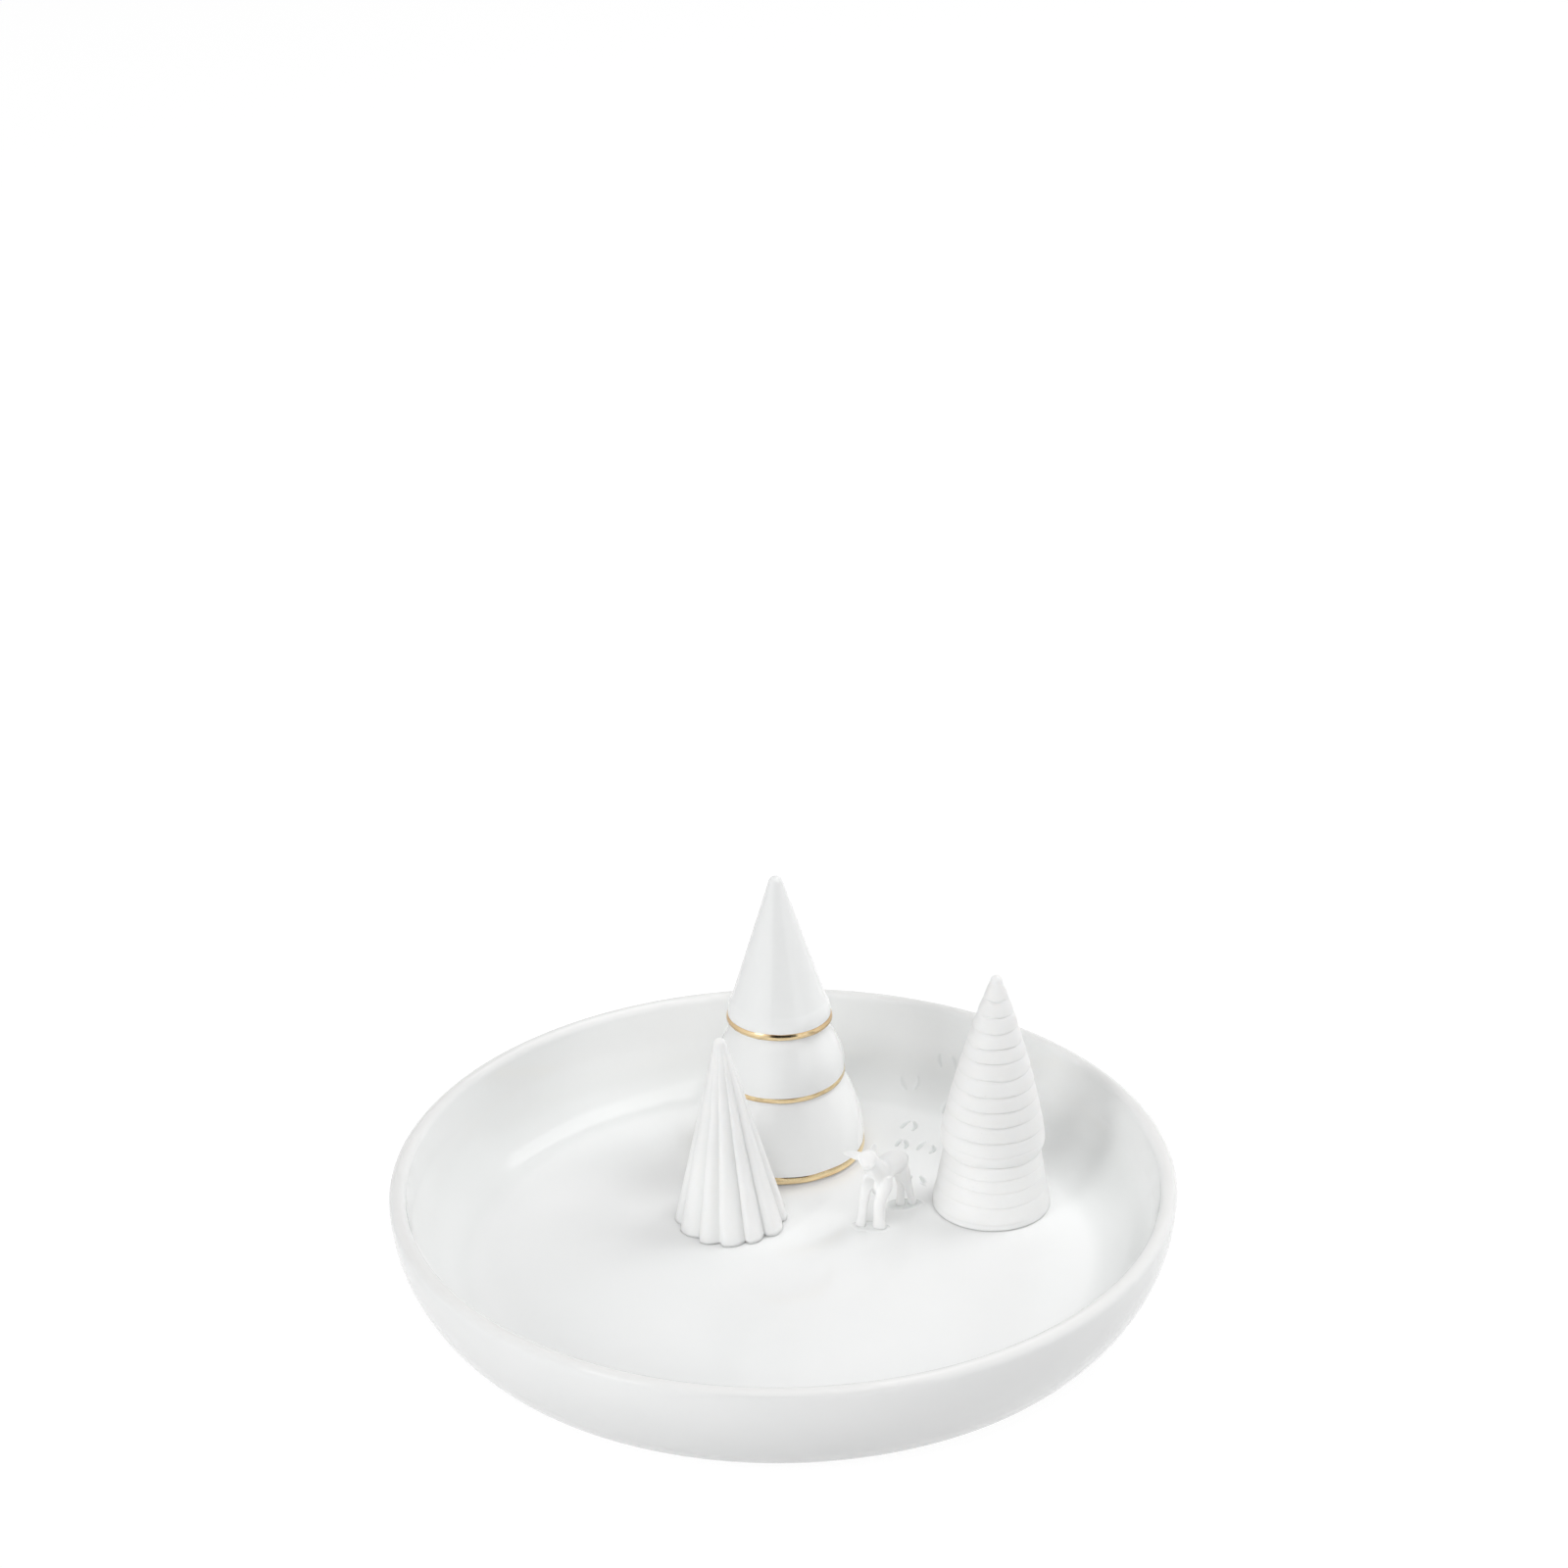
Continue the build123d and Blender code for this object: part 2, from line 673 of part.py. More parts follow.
os.makedirs("parts", exist_ok=True)
export_step(dish.part, "parts/dish.step")
export_step(tiered_tree.part, "parts/tiered_tree.step")
export_step(gold_band_upper.part, "parts/gold_band_upper.step")
export_step(gold_band_middle.part, "parts/gold_band_middle.step")
export_step(gold_band_lower.part, "parts/gold_band_lower.step")
export_step(fluted_tree.part, "parts/fluted_tree.step")
export_step(ringed_tree.part, "parts/ringed_tree.step")
export_step(fawn.part, "parts/fawn.step")
export_step(tiered_tree_joint.part, "parts/tiered_tree_joint.step")
export_step(fluted_tree_joint.part, "parts/fluted_tree_joint.step")
export_step(ringed_tree_joint.part, "parts/ringed_tree_joint.step")
export_step(fawn_front_joint.part, "parts/fawn_front_joint.step")
export_step(fawn_hind_joint.part, "parts/fawn_hind_joint.step")
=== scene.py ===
import bpy
import math
import numpy as np
from mathutils import Matrix, Vector, noise


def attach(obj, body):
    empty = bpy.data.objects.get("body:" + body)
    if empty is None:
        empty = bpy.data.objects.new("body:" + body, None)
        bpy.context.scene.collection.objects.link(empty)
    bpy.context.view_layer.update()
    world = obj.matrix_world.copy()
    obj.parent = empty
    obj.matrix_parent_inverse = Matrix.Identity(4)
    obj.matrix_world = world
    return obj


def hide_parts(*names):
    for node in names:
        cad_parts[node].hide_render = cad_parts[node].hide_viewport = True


# Ring dish in glazed porcelain, with three unlike fir trees, a fawn and a trail of hoof prints.
# Shapes are worked out in millimetres and scaled to metres as each mesh is made.
MM = 0.001

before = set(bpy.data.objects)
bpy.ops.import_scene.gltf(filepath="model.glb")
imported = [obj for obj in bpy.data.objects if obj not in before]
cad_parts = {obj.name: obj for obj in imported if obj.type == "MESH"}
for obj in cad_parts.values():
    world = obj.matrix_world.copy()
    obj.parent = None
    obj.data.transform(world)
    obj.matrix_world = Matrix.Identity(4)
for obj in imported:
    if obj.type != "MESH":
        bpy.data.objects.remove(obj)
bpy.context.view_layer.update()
scene = bpy.context.scene

# Dish, in section
DISH_RADIUS = 70.0
DISH_HEIGHT = 21.3
LIP_THICKNESS = 2.9
WALL_DRAFT = 0.6
COVE_RADIUS = 11.5
FOOT_HEIGHT = 1.1
FLOOR_HEIGHT = 4.5
HEEL_CORNER = 61.0
HEEL_RADIUS = 8.0
FOOT_RADIUS = 53.0
FOOT_WIDTH = 3.5
FOOT_EDGE = 0.5
FLOOR_RADIUS = DISH_RADIUS - LIP_THICKNESS - WALL_DRAFT - COVE_RADIUS

# The figures sit in their glaze at the seat, and the unglazed trees' rims hang a little lower.
# That glaze starts just under the floor.
SEAT_HEIGHT = 4.8
RIM_HEIGHT = 4.64
UNDER_FLOOR = FLOOR_HEIGHT - 0.05

# The hoof prints lie between these bearings, in degrees from the right towards the back
PRINTS_FROM = 42
PRINTS_TO = 72
# Each toe, on the floor and the wall unrolled flat: (outer end, inner end, bow to the right)
TOES = [
    ((32.2, 61.1), (31.9, 58.7), -0.15),
    ((34.8, 59.8), (34.6, 57.4), 0.2),
    ((23.4, 58.6), (24.2, 55.9), -0.25),
    ((26.8, 58.0), (25.8, 55.5), 0.3),
    ((32.1, 51.2), (30.9, 48.4), -0.2),
    ((33.6, 51.0), (33.4, 48.3), 0.4),
    ((24.3, 45.8), (22.7, 43.2), -0.2),
    ((25.2, 45.6), (24.8, 42.3), 0.45),
    ((27.0, 37.7), (25.5, 35.0), -0.2),
    ((28.5, 36.4), (27.8, 33.6), 0.4),
    ((22.6, 38.8), (21.5, 36.5), -0.2),
    ((23.1, 38.6), (23.2, 35.6), 0.35),
    ((23.9, 25.4), (23.4, 22.3), -0.25),
    ((25.6, 25.2), (25.9, 22.4), 0.3),
]
TOE_HALF_WIDTH = 0.5
TOE_DEPTH = 0.4
WALL_TOE_FADE = 0.45
# How much of the glaze's full greyness the cove shows, as painted shade
COVE_PAINTED_SHADE = 0.3


# ---- Meshes ----


def smooth_step(low, high, x):
    t = np.clip((x - low) / (high - low), 0, 1)
    return t * t * (3 - 2 * t)


def wander(x, y, z):
    """A slow, even, repeatable unevenness of hand work, from -1 to 1."""
    return noise.noise(Vector((x, y, z)))


def closed_skin(start, rings, end):
    """Points and faces of a closed skin: a pole, rings of one count, and a pole."""
    count = len(rings[0])
    points = [tuple(start)]
    for ring in rings:
        points.extend(tuple(p) for p in ring)
    points.append(tuple(end))
    last = len(points) - 1
    faces = [(0, 1 + (j + 1) % count, 1 + j) for j in range(count)]
    for i in range(len(rings) - 1):
        low, high = 1 + i * count, 1 + (i + 1) * count
        for j in range(count):
            k = (j + 1) % count
            faces.append((low + j, low + k, high + k, high + j))
    low = 1 + (len(rings) - 1) * count
    faces.extend((low + j, low + (j + 1) % count, last) for j in range(count))
    return points, faces


def closed_hoop(rings):
    """Points and faces of a hoop: rings of one count, the last joined to the first."""
    count = len(rings[0])
    points = [tuple(p) for ring in rings for p in ring]
    faces = []
    for i in range(len(rings)):
        low, high = i * count, (i + 1) % len(rings) * count
        for j in range(count):
            k = (j + 1) % count
            faces.append((low + j, low + k, high + k, high + j))
    return points, faces


def mesh_of(name, points, faces):
    mesh = bpy.data.meshes.new(name)
    mesh.from_pydata([(x * MM, y * MM, z * MM) for x, y, z in points], [], faces)
    mesh.polygons.foreach_set("use_smooth", [True] * len(faces))
    mesh.validate()
    mesh.update()
    return mesh


def outward(mesh):
    """Turns the mesh inside out if its faces look inwards."""
    volume = 0.0
    for polygon in mesh.polygons:
        volume += polygon.center.dot(polygon.normal) * polygon.area
    if volume < 0:
        mesh.flip_normals()
    return mesh


def set_in_place(name, mesh, finish, slot, *nodes):
    """Makes the mesh a piece of its own, in place of these solids."""
    piece = bpy.data.objects.new(name, outward(mesh))
    scene.collection.objects.link(piece)
    piece.data.materials.append(finish)
    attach(piece, "root")
    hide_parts(*nodes)


# ---- Finishes ----


class Socket:
    """A node's output. Sums and products of sockets add their Math nodes."""

    def __init__(self, finish, socket):
        self.finish = finish
        self.socket = socket

    def _math(self, operation, first, second):
        return self.finish.node("ShaderNodeMath", {"operation": operation}, {0: first, 1: second})

    def __add__(self, other):
        return self._math("ADD", self, other)

    def __radd__(self, other):
        return self._math("ADD", other, self)

    def __mul__(self, other):
        return self._math("MULTIPLY", self, other)

    def __rmul__(self, other):
        return self._math("MULTIPLY", other, self)


class Finish:
    """The nodes of a material or of the world, as they are put together."""

    def __init__(self, owner):
        self.owner = owner
        owner.use_nodes = True
        self.tree = owner.node_tree
        self.tree.nodes.clear()

    def node(self, kind, settings=None, sockets=None, output=0):
        made = self.tree.nodes.new(kind)
        for key, value in (settings or {}).items():
            setattr(made, key, value)
        for key, value in (sockets or {}).items():
            if isinstance(value, Socket):
                self.tree.links.new(value.socket, made.inputs[key])
            else:
                made.inputs[key].default_value = value
        return Socket(self, made.outputs[output]) if len(made.outputs) else None

    def place(self):
        return self.node("ShaderNodeTexCoord", output="Object")

    def stretched(self, factors):
        return self.node(
            "ShaderNodeVectorMath", {"operation": "MULTIPLY"}, {0: self.place(), 1: factors}
        )

    def grain(self, size_mm, detail=2.0, roughness=0.5, at=None):
        """Noise from 0 to 1 whose spots are about this many millimetres across."""
        return self.node(
            "ShaderNodeTexNoise",
            sockets={
                "Vector": at or self.place(),
                "Scale": 1 / (size_mm * MM),
                "Detail": detail,
                "Roughness": roughness,
            },
        )

    def marked(self, attribute):
        """A mark that the mesh carries, from 0 to 1."""
        return self.node("ShaderNodeAttribute", {"attribute_name": attribute}, output="Fac")

    def between(self, low, high, mask):
        """mask taken from this low to this high and held from 0 to 1."""
        return self.node(
            "ShaderNodeMapRange",
            {"clamp": True},
            {"Value": mask, "From Min": low, "From Max": high},
        )

    def blend(self, mask, first, second):
        """The first colour where the mask is 0 and the second where it is 1."""
        return self.node(
            "ShaderNodeMix",
            {"data_type": "RGBA"},
            {"Factor": mask, "A": first, "B": second},
            output="Result",
        )

    def relief(self, height, distance_mm, strength=1.0, over=None):
        sockets = {"Height": height, "Distance": distance_mm * MM, "Strength": strength}
        if over is not None:
            sockets["Normal"] = over
        return self.node("ShaderNodeBump", sockets=sockets)

    def done(self, **sockets):
        """The material, with a Principled shader that takes these sockets."""
        named = {name.replace("_", " "): value for name, value in sockets.items()}
        return self.shown_as(self.node("ShaderNodeBsdfPrincipled", sockets=named))

    def shown_as(self, shader, output="ShaderNodeOutputMaterial"):
        self.node(output, sockets={"Surface": shader})
        return self.owner


CERAMIC_IOR = 1.5


def white_glaze():
    """Clear glaze over white porcelain: it ripples faintly, and is greyer where it pools, a grey
    that also paints shade in the cove, the prints and round the hooves.
    """
    f = Finish(bpy.data.materials.new("white_glaze"))
    cloud = f.between(0.35, 0.65, f.grain(26, 3))
    body = f.blend(cloud, (0.915, 0.925, 0.922, 1), (0.932, 0.937, 0.935, 1))
    # grey of pooled glaze, laid on strongly enough to stand in for painted shade
    pool_and_painted_shade = f.blend(f.marked("pool_and_painted_shade"), body, (0.74, 0.765, 0.755, 1))
    lean_glaze = f.blend(f.marked("lean"), pool_and_painted_shade, (0.885, 0.885, 0.875, 1))
    swell = f.relief(f.grain(9, 1), 0.018)
    peel = f.relief(f.grain(1.6, 2), 0.0025, over=swell)
    return f.done(
        Base_Color=lean_glaze,
        Roughness=0.03 + 0.03 * f.grain(4, 3) + 0.03 * f.marked("dulled"),
        Normal=peel,
        IOR=CERAMIC_IOR,
    )


def white_bisque():
    """Unglazed porcelain, polished but matt, with a fine grain, and with shade painted darker
    into its cuts, folds and dents.
    """
    f = Finish(bpy.data.materials.new("white_bisque"))
    cloud = f.between(0.35, 0.65, f.grain(5, 4))
    body = f.blend(cloud, (0.92, 0.92, 0.913, 1), (0.938, 0.937, 0.93, 1))
    # painted shade: cuts, folds and dents are coloured darker where shade falls in them
    painted_shade = f.blend(f.marked("painted_shade"), body, (0.84, 0.847, 0.842, 1))
    speck = f.between(0.70, 0.78, f.grain(0.35, 1))
    dusted = f.blend(speck * 0.3, painted_shade, (0.80, 0.79, 0.77, 1))
    hand = f.relief(f.grain(2.6, 2), 0.05, 0.6)
    fine = f.relief(f.grain(0.16, 2), 0.012, over=hand)
    return f.done(
        Base_Color=dusted,
        Roughness=0.56 + 0.14 * f.grain(0.8, 3),
        Normal=fine,
        IOR=CERAMIC_IOR,
        Subsurface_Weight=0.35,
        Subsurface_Radius=(1.0, 0.95, 0.9),
        Subsurface_Scale=1.6 * MM,
    )


def gold_lustre():
    """Brushed-on gold, fired: bright where it is full and browner where it is thin."""
    f = Finish(bpy.data.materials.new("gold_lustre"))
    streak = f.grain(1.3, 4, 0.6, at=f.stretched((0.45, 0.45, 3.0)))
    thin = f.between(0.5, 0.75, streak)
    full = f.blend(thin, (0.98, 0.78, 0.47, 1), (0.72, 0.49, 0.26, 1))
    edged = f.blend(f.marked("edge"), full, (0.30, 0.17, 0.08, 1))
    return f.done(
        Base_Color=edged,
        Metallic=1.0,
        Roughness=0.12 + 0.14 * f.grain(0.9, 3),
        Normal=f.relief(streak, 0.03, 0.5),
    )


GLAZE = white_glaze()
BISQUE = white_bisque()
GOLD = gold_lustre()


def mark(mesh, name, values):
    """Writes one number for each point, which a finish reads by this name."""
    layer = mesh.attributes.new(name, "FLOAT", "POINT")
    layer.data.foreach_set("value", np.asarray(values, np.float32).ravel())


# ---- Dish ----


def arc(centre, radius, start, end, count):
    """Points of an arc in section, without its first one."""
    return [
        (
            centre[0] + radius * math.cos(start + (end - start) * i / count),
            centre[1] + radius * math.sin(start + (end - start) * i / count),
        )
        for i in range(1, count + 1)
    ]


def straight(first, last, count):
    return [
        (first[0] + (last[0] - first[0]) * i / count, first[1] + (last[1] - first[1]) * i / count)
        for i in range(1, count + 1)
    ]


def dish_section():
    """The dish in section, from the middle of its floor over the lip to the middle underneath.

    The last number of each stretch is the count of its points.
    """
    lip_radius = LIP_THICKNESS / 2
    lip_centre = (DISH_RADIUS - lip_radius, DISH_HEIGHT - lip_radius)
    cove_centre = (FLOOR_RADIUS, FLOOR_HEIGHT + COVE_RADIUS)
    to_lip = (DISH_RADIUS - LIP_THICKNESS - cove_centre[0], lip_centre[1] - cove_centre[1])
    sweep = (
        math.atan2(to_lip[1], to_lip[0])
        - math.acos(COVE_RADIUS / math.hypot(*to_lip))
        + math.pi / 2
    )
    plain_floor = (20, FLOOR_HEIGHT)
    inside = straight((0, FLOOR_HEIGHT), plain_floor, 10)
    inside += straight(plain_floor, (FLOOR_RADIUS, FLOOR_HEIGHT), 210)
    inside += arc(cove_centre, COVE_RADIUS, -math.pi / 2, sweep - math.pi / 2, 60)
    inside += straight(inside[-1], (DISH_RADIUS - LIP_THICKNESS, lip_centre[1]), 8)
    lip = arc(lip_centre, lip_radius, math.pi, 0, 18)
    # the outer wall is one arc, upright at the lip, that a heel rounds off underneath
    drop = lip_centre[1] - FOOT_HEIGHT
    reach = DISH_RADIUS - HEEL_CORNER
    wall_radius = (reach**2 + drop**2) / (2 * reach)
    wall_centre = (DISH_RADIUS - wall_radius, lip_centre[1])
    heel_height = FOOT_HEIGHT + HEEL_RADIUS
    heel_out = math.sqrt((wall_radius - HEEL_RADIUS) ** 2 - (wall_centre[1] - heel_height) ** 2)
    heel_centre = (wall_centre[0] + heel_out, heel_height)
    heel_turn = math.atan2(heel_height - wall_centre[1], heel_out)
    outside = arc(wall_centre, wall_radius, 0, heel_turn, 36)
    outside += arc(heel_centre, HEEL_RADIUS, heel_turn, -math.pi / 2, 14)
    foot_inside = FOOT_RADIUS - FOOT_WIDTH
    turned_in = (foot_inside + FOOT_EDGE, FOOT_EDGE)
    outside += straight(outside[-1], (FOOT_RADIUS, FOOT_HEIGHT), 4)
    outside += straight(outside[-1], (FOOT_RADIUS, FOOT_EDGE), 2)
    outside += arc((FOOT_RADIUS - FOOT_EDGE, FOOT_EDGE), FOOT_EDGE, 0, -math.pi / 2, 4)
    outside += straight(outside[-1], (foot_inside + FOOT_EDGE, 0), 4)
    outside += arc(turned_in, FOOT_EDGE, -math.pi / 2, -math.pi, 4)
    outside += straight(outside[-1], (foot_inside, FOOT_HEIGHT), 2)
    outside += straight(outside[-1], (2, FOOT_HEIGHT), 12)
    return inside, lip, outside


def toe_depths(across, back):
    """How far each toe is pressed in, from 0 to 1, over points of the unrolled inside."""
    pressed = np.zeros_like(across)
    for (x0, y0), (x1, y1), bow in TOES:
        length = math.hypot(x1 - x0, y1 - y0)
        ux, uy = (x1 - x0) / length, (y1 - y0) / length
        along = (across - x0) * ux + (back - y0) * uy
        beside = (across - x0) * -uy + (back - y0) * ux
        share = np.clip(along / length, 0, 1)
        bend = 4 * share * (1 - share)
        aside = beside - bow * bend
        beyond = np.maximum(np.maximum(-along, along - length), 0)
        width = TOE_HALF_WIDTH * (0.55 + 0.45 * bend)
        distance = np.hypot(aside, beyond * 1.2) / width
        pressed = np.maximum(pressed, np.clip(1 - distance**2, 0, 1) ** 1.2)
    return pressed


def make_dish():
    inside, lip, outside = dish_section()
    section = np.array(inside + lip + outside)
    path = np.vstack([[0, FLOOR_HEIGHT], section, [0, FOOT_HEIGHT]])
    ahead = path[2:] - path[:-2]
    ahead /= np.linalg.norm(ahead, axis=1)[:, None]
    inward = np.stack([-ahead[:, 1], ahead[:, 0]], axis=1)
    travel = np.cumsum(np.linalg.norm(np.diff(path, axis=0), axis=1))[:-1]
    # columns stand closer where the hoof prints are
    coarse = np.arange(PRINTS_TO, PRINTS_FROM + 360, 1.2)
    fine = np.arange(PRINTS_FROM, PRINTS_TO, 0.2)
    bearings = np.radians(np.concatenate([fine, coarse]))
    cosines, sines = np.cos(bearings), np.sin(bearings)
    pressed = toe_depths(travel[:, None] * cosines, travel[:, None] * sines)
    pressed[len(inside) :] = 0
    # the prints are fainter up the wall
    faint = (1 - WALL_TOE_FADE * smooth_step(57, 63, travel))[:, None]
    depth = pressed * TOE_DEPTH * faint
    radius = section[:, 0][:, None] - inward[:, 0][:, None] * depth
    height = section[:, 1][:, None] - inward[:, 1][:, None] * depth
    rings = np.stack([radius * cosines, radius * sines, height], axis=2)
    points, faces = closed_skin((0, 0, FLOOR_HEIGHT), rings, (0, 0, FOOT_HEIGHT))
    mesh = mesh_of("porcelain_dish", points, faces)
    # painted shade greys the cove; glaze gathers in each print, and its grey there also stands in
    # for shade
    cove_painted_shade = COVE_PAINTED_SHADE * smooth_step(FLOOR_RADIUS - 1, FLOOR_RADIUS + 3, travel)
    cove_painted_shade *= 1 - smooth_step(FLOOR_RADIUS + 9, FLOOR_RADIUS + 17, travel)
    cove_painted_shade[len(inside) :] = 0
    pool_and_painted_shade = np.maximum(cove_painted_shade[:, None], pressed**0.7 * faint)
    mark(mesh, "pool_and_painted_shade", np.concatenate([[0], pool_and_painted_shade.ravel(), [0]]))
    # use has dulled the floor, and the glaze is lean over the lip
    dulled = 1 - smooth_step(FLOOR_RADIUS - 5, FLOOR_RADIUS, travel)
    dulled[len(inside) :] = 0
    mark(mesh, "dulled", np.concatenate([[1], np.repeat(dulled, len(bearings)), [0]]))
    lean = np.zeros(len(section))
    lean[len(inside) : len(inside) + len(lip)] = np.sin(np.linspace(0, math.pi, len(lip))) ** 2
    mark(mesh, "lean", np.concatenate([[0], np.repeat(lean, len(bearings)), [0]]))
    set_in_place("porcelain_dish", mesh, GLAZE, "white_glaze", "dish")


# ---- Trees ----


class Stance:
    """Where a tree stands on the dish floor, and how it leans."""

    def __init__(self, x, y, lean):
        angle = math.radians(lean)
        self.place = np.array([x, y, SEAT_HEIGHT])
        self.across = np.array([math.cos(angle), 0, -math.sin(angle)])
        self.up = np.array([math.sin(angle), 0, math.cos(angle)])

    def put(self, radius, turn, height, lowest=SEAT_HEIGHT):
        """Points at these radii, turns and heights about the tree, flattened at the foot."""
        points = (
            self.place
            + (radius * np.cos(turn))[..., None] * self.across
            + (radius * np.sin(turn))[..., None] * np.array([0, 1, 0])
            + height[..., None] * self.up
        )
        points[..., 2] = np.maximum(points[..., 2], lowest)
        return points

    def ring(self, radius, turns, height, lowest=SEAT_HEIGHT):
        """A level ring round the tree's axis."""
        return self.put(np.full_like(turns, radius), turns, np.full_like(turns, height), lowest)

    def pole(self, height):
        """The point at this height on the tree's axis."""
        return self.put(np.array([0.0]), np.array([0.0]), np.array([height]))[0]


def full_turn(count):
    return np.linspace(0, 2 * math.pi, count, endpoint=False)


# Heights on the trees and the fawn are above their seat in the dish.

TIERED = Stance(0, 37.2, -0.7)
TIERED_TIP = 56.5
TIERED_TIP_RADIUS = 1.35
# Each rim: (radius, height)
UPPER_RIM = (9.6, 27.3)
MIDDLE_RIM = (11.95, 16.05)
LOWER_RIM = (15.3, 0.15)
# Each bell: (its rim, height of the upright edge, shares that shape its curve)
BELLS = [
    (UPPER_RIM, 1.3, (0.45, 0.24, 0.43)),
    (MIDDLE_RIM, 1.1, (0.10, 0.35, 0.55)),
    (LOWER_RIM, 1.9, (0.30, 0.20, 0.55)),
]
RIM_ROUNDING = 0.45
TIERED_SUNK = 0.6
# The hollow inside: (radius, height)
TIERED_HOLLOW = [(12.6, 1.9), (9.25, 16.05), (6.9, 27.3), (1.54, 44.2)]
# Rims aren't quite level: (height, rise to the right, rise to the back),
# the rises for each millimetre of radius
RIM_TILTS = [
    (-3, 0, 0),
    (1.5, 0, 0),
    (16.6, -0.004, 0.05),
    (28.0, -0.017, -0.02),
    (50, 0, 0),
    (60, 0, 0),
]


def tiered_point(radius, turn, height):
    """A point of the tiered tree, with its height shifted to follow the tilted rims."""
    levels, rights, backs = np.array(RIM_TILTS).T
    right = np.interp(height, levels, rights)
    back = np.interp(height, levels, backs)
    shifted = height + radius * (right * np.cos(turn) + back * np.sin(turn))
    return TIERED.put(radius, turn, shifted)


def bezier(points, count):
    """Points of a cubic curve, without its first one."""
    shares = np.linspace(0, 1, count + 1)[1:, None]
    a, b, c, d = (np.array(p) for p in points)
    rest = 1 - shares
    return a * rest**3 + 3 * b * shares * rest**2 + 3 * c * shares**2 * rest + d * shares**3


def bell(top, rim, outward_share, downward_share, upright_share, count):
    """A bell in section, from the point above it to its rim."""
    reach, drop = rim[0] - top[0], top[1] - rim[1]
    return bezier(
        [
            top,
            (top[0] + outward_share * reach, top[1] - downward_share * drop),
            (rim[0], rim[1] + upright_share * drop),
            rim,
        ],
        count,
    )


def tiered_section():
    """The tiered tree's outside in section, from its tip down to its foot."""
    tip_middle = TIERED_TIP - TIERED_TIP_RADIUS
    # the top bell is a straight cone for all but its lowest part
    radius, low = UPPER_RIM
    cone_foot = (0.924 * radius, low + 0.14 * (TIERED_TIP - low))
    slope = math.atan((cone_foot[0] - TIERED_TIP_RADIUS) / (tip_middle - cone_foot[1]))
    section = arc((0, tip_middle), TIERED_TIP_RADIUS, math.pi / 2, slope, 8)
    section += straight(section[-1], cone_foot, 40)
    for (radius, low), upright, shares in BELLS:
        turned_in = (radius - RIM_ROUNDING, low + RIM_ROUNDING)
        section += [tuple(p) for p in bell(section[-1], (radius, low + upright), *shares, 24)]
        section += straight((radius, low + upright), (radius, low + RIM_ROUNDING), 4)
        section += arc(turned_in, RIM_ROUNDING, 0, -math.pi / 2, 5)
        section += [(radius - RIM_ROUNDING - 0.08, low)]
    section += [(LOWER_RIM[0] - 0.55, -TIERED_SUNK), (LOWER_RIM[0] - 2.7, -TIERED_SUNK)]
    return section


def make_tiered_tree():
    section = np.array(tiered_section() + TIERED_HOLLOW)
    turn = full_turn(192)
    radii = np.repeat(section[:, :1], len(turn), 1)
    heights = np.repeat(section[:, 1:], len(turn), 1)
    rings = tiered_point(radii, turn[None, :], heights)
    tip, hollow_end = TIERED.pole(TIERED_TIP), TIERED.pole(TIERED_HOLLOW[-1][1])
    points, faces = closed_skin(tip, rings, hollow_end)
    mesh = mesh_of("tiered_fir", points, faces)
    set_in_place("tiered_fir", mesh, GLAZE, "white_glaze", "tiered_tree")


# Each gold line: (name, CAD node, rim, width, swell, seed, raggedness, how much browner it is to
# its left and right)
GOLD_LINES = [
    ("gold_line_upper", "gold_band_upper", UPPER_RIM, 1.3, 0.32, 1.0, 0.10, 0.65),
    ("gold_line_middle", "gold_band_middle", MIDDLE_RIM, 1.1, 0.1, 4.0, 0.14, 0.0),
    ("gold_line_lower", "gold_band_lower", LOWER_RIM, 1.65, 0.22, 9.0, 0.30, 0.0),
]


def make_gold_line(name, node, rim, width, swell, seed, ragged, browner_sides):
    """One brushed gold line: fullest below its middle, with edges that a hand has drawn."""
    turn = full_turn(240)
    shares = np.linspace(0, 1, 15)
    low_edge = np.array([0.06 * wander(3 * math.cos(a), 3 * math.sin(a), seed) for a in turn])
    high_edge = np.array(
        [ragged * wander(2.2 * math.cos(a), 2.2 * math.sin(a), seed + 7) for a in turn]
    )
    radius, low = rim
    crowns = np.array([math.sin(math.pi * share**0.6) for share in shares])
    outs = radius + swell * crowns - 0.1 * (1 - crowns) ** 6
    # its face from the lower edge to the upper one, and its back, sunk into the glaze
    stations = list(zip(shares, outs)) + [(1.0, radius - 0.25), (0.0, radius - 0.25)]
    rings = []
    for share, out in stations:
        height = low + low_edge + share * (width + high_edge - low_edge)
        rings.append(tiered_point(np.full_like(turn, out), turn, height))
    points, faces = closed_hoop(rings)
    mesh = mesh_of(name, points, faces)
    # browner at the line's edges, and towards its left and right by browner_sides
    edge = np.array([abs(2 * s - 1) ** 3.5 for s in shares] + [1, 1])[:, None]
    mark(mesh, "edge", np.maximum(edge, browner_sides * np.cos(turn) ** 2).ravel())
    set_in_place(name, mesh, GOLD, "gold_lustre", node)


FLUTED = Stance(-9.62, 11.33, -2.2)
FLUTED_TIP = 37.1
FLUTED_TIP_RADIUS = 1.15
FLUTED_FOOT_RADIUS = 10.4
FLUTED_SUNK = 0.3
# The hollow inside: (radius, height)
FLUTED_HOLLOW = [(7.05, -0.3), (7.05, 0.0), (1.25, 28.9)]
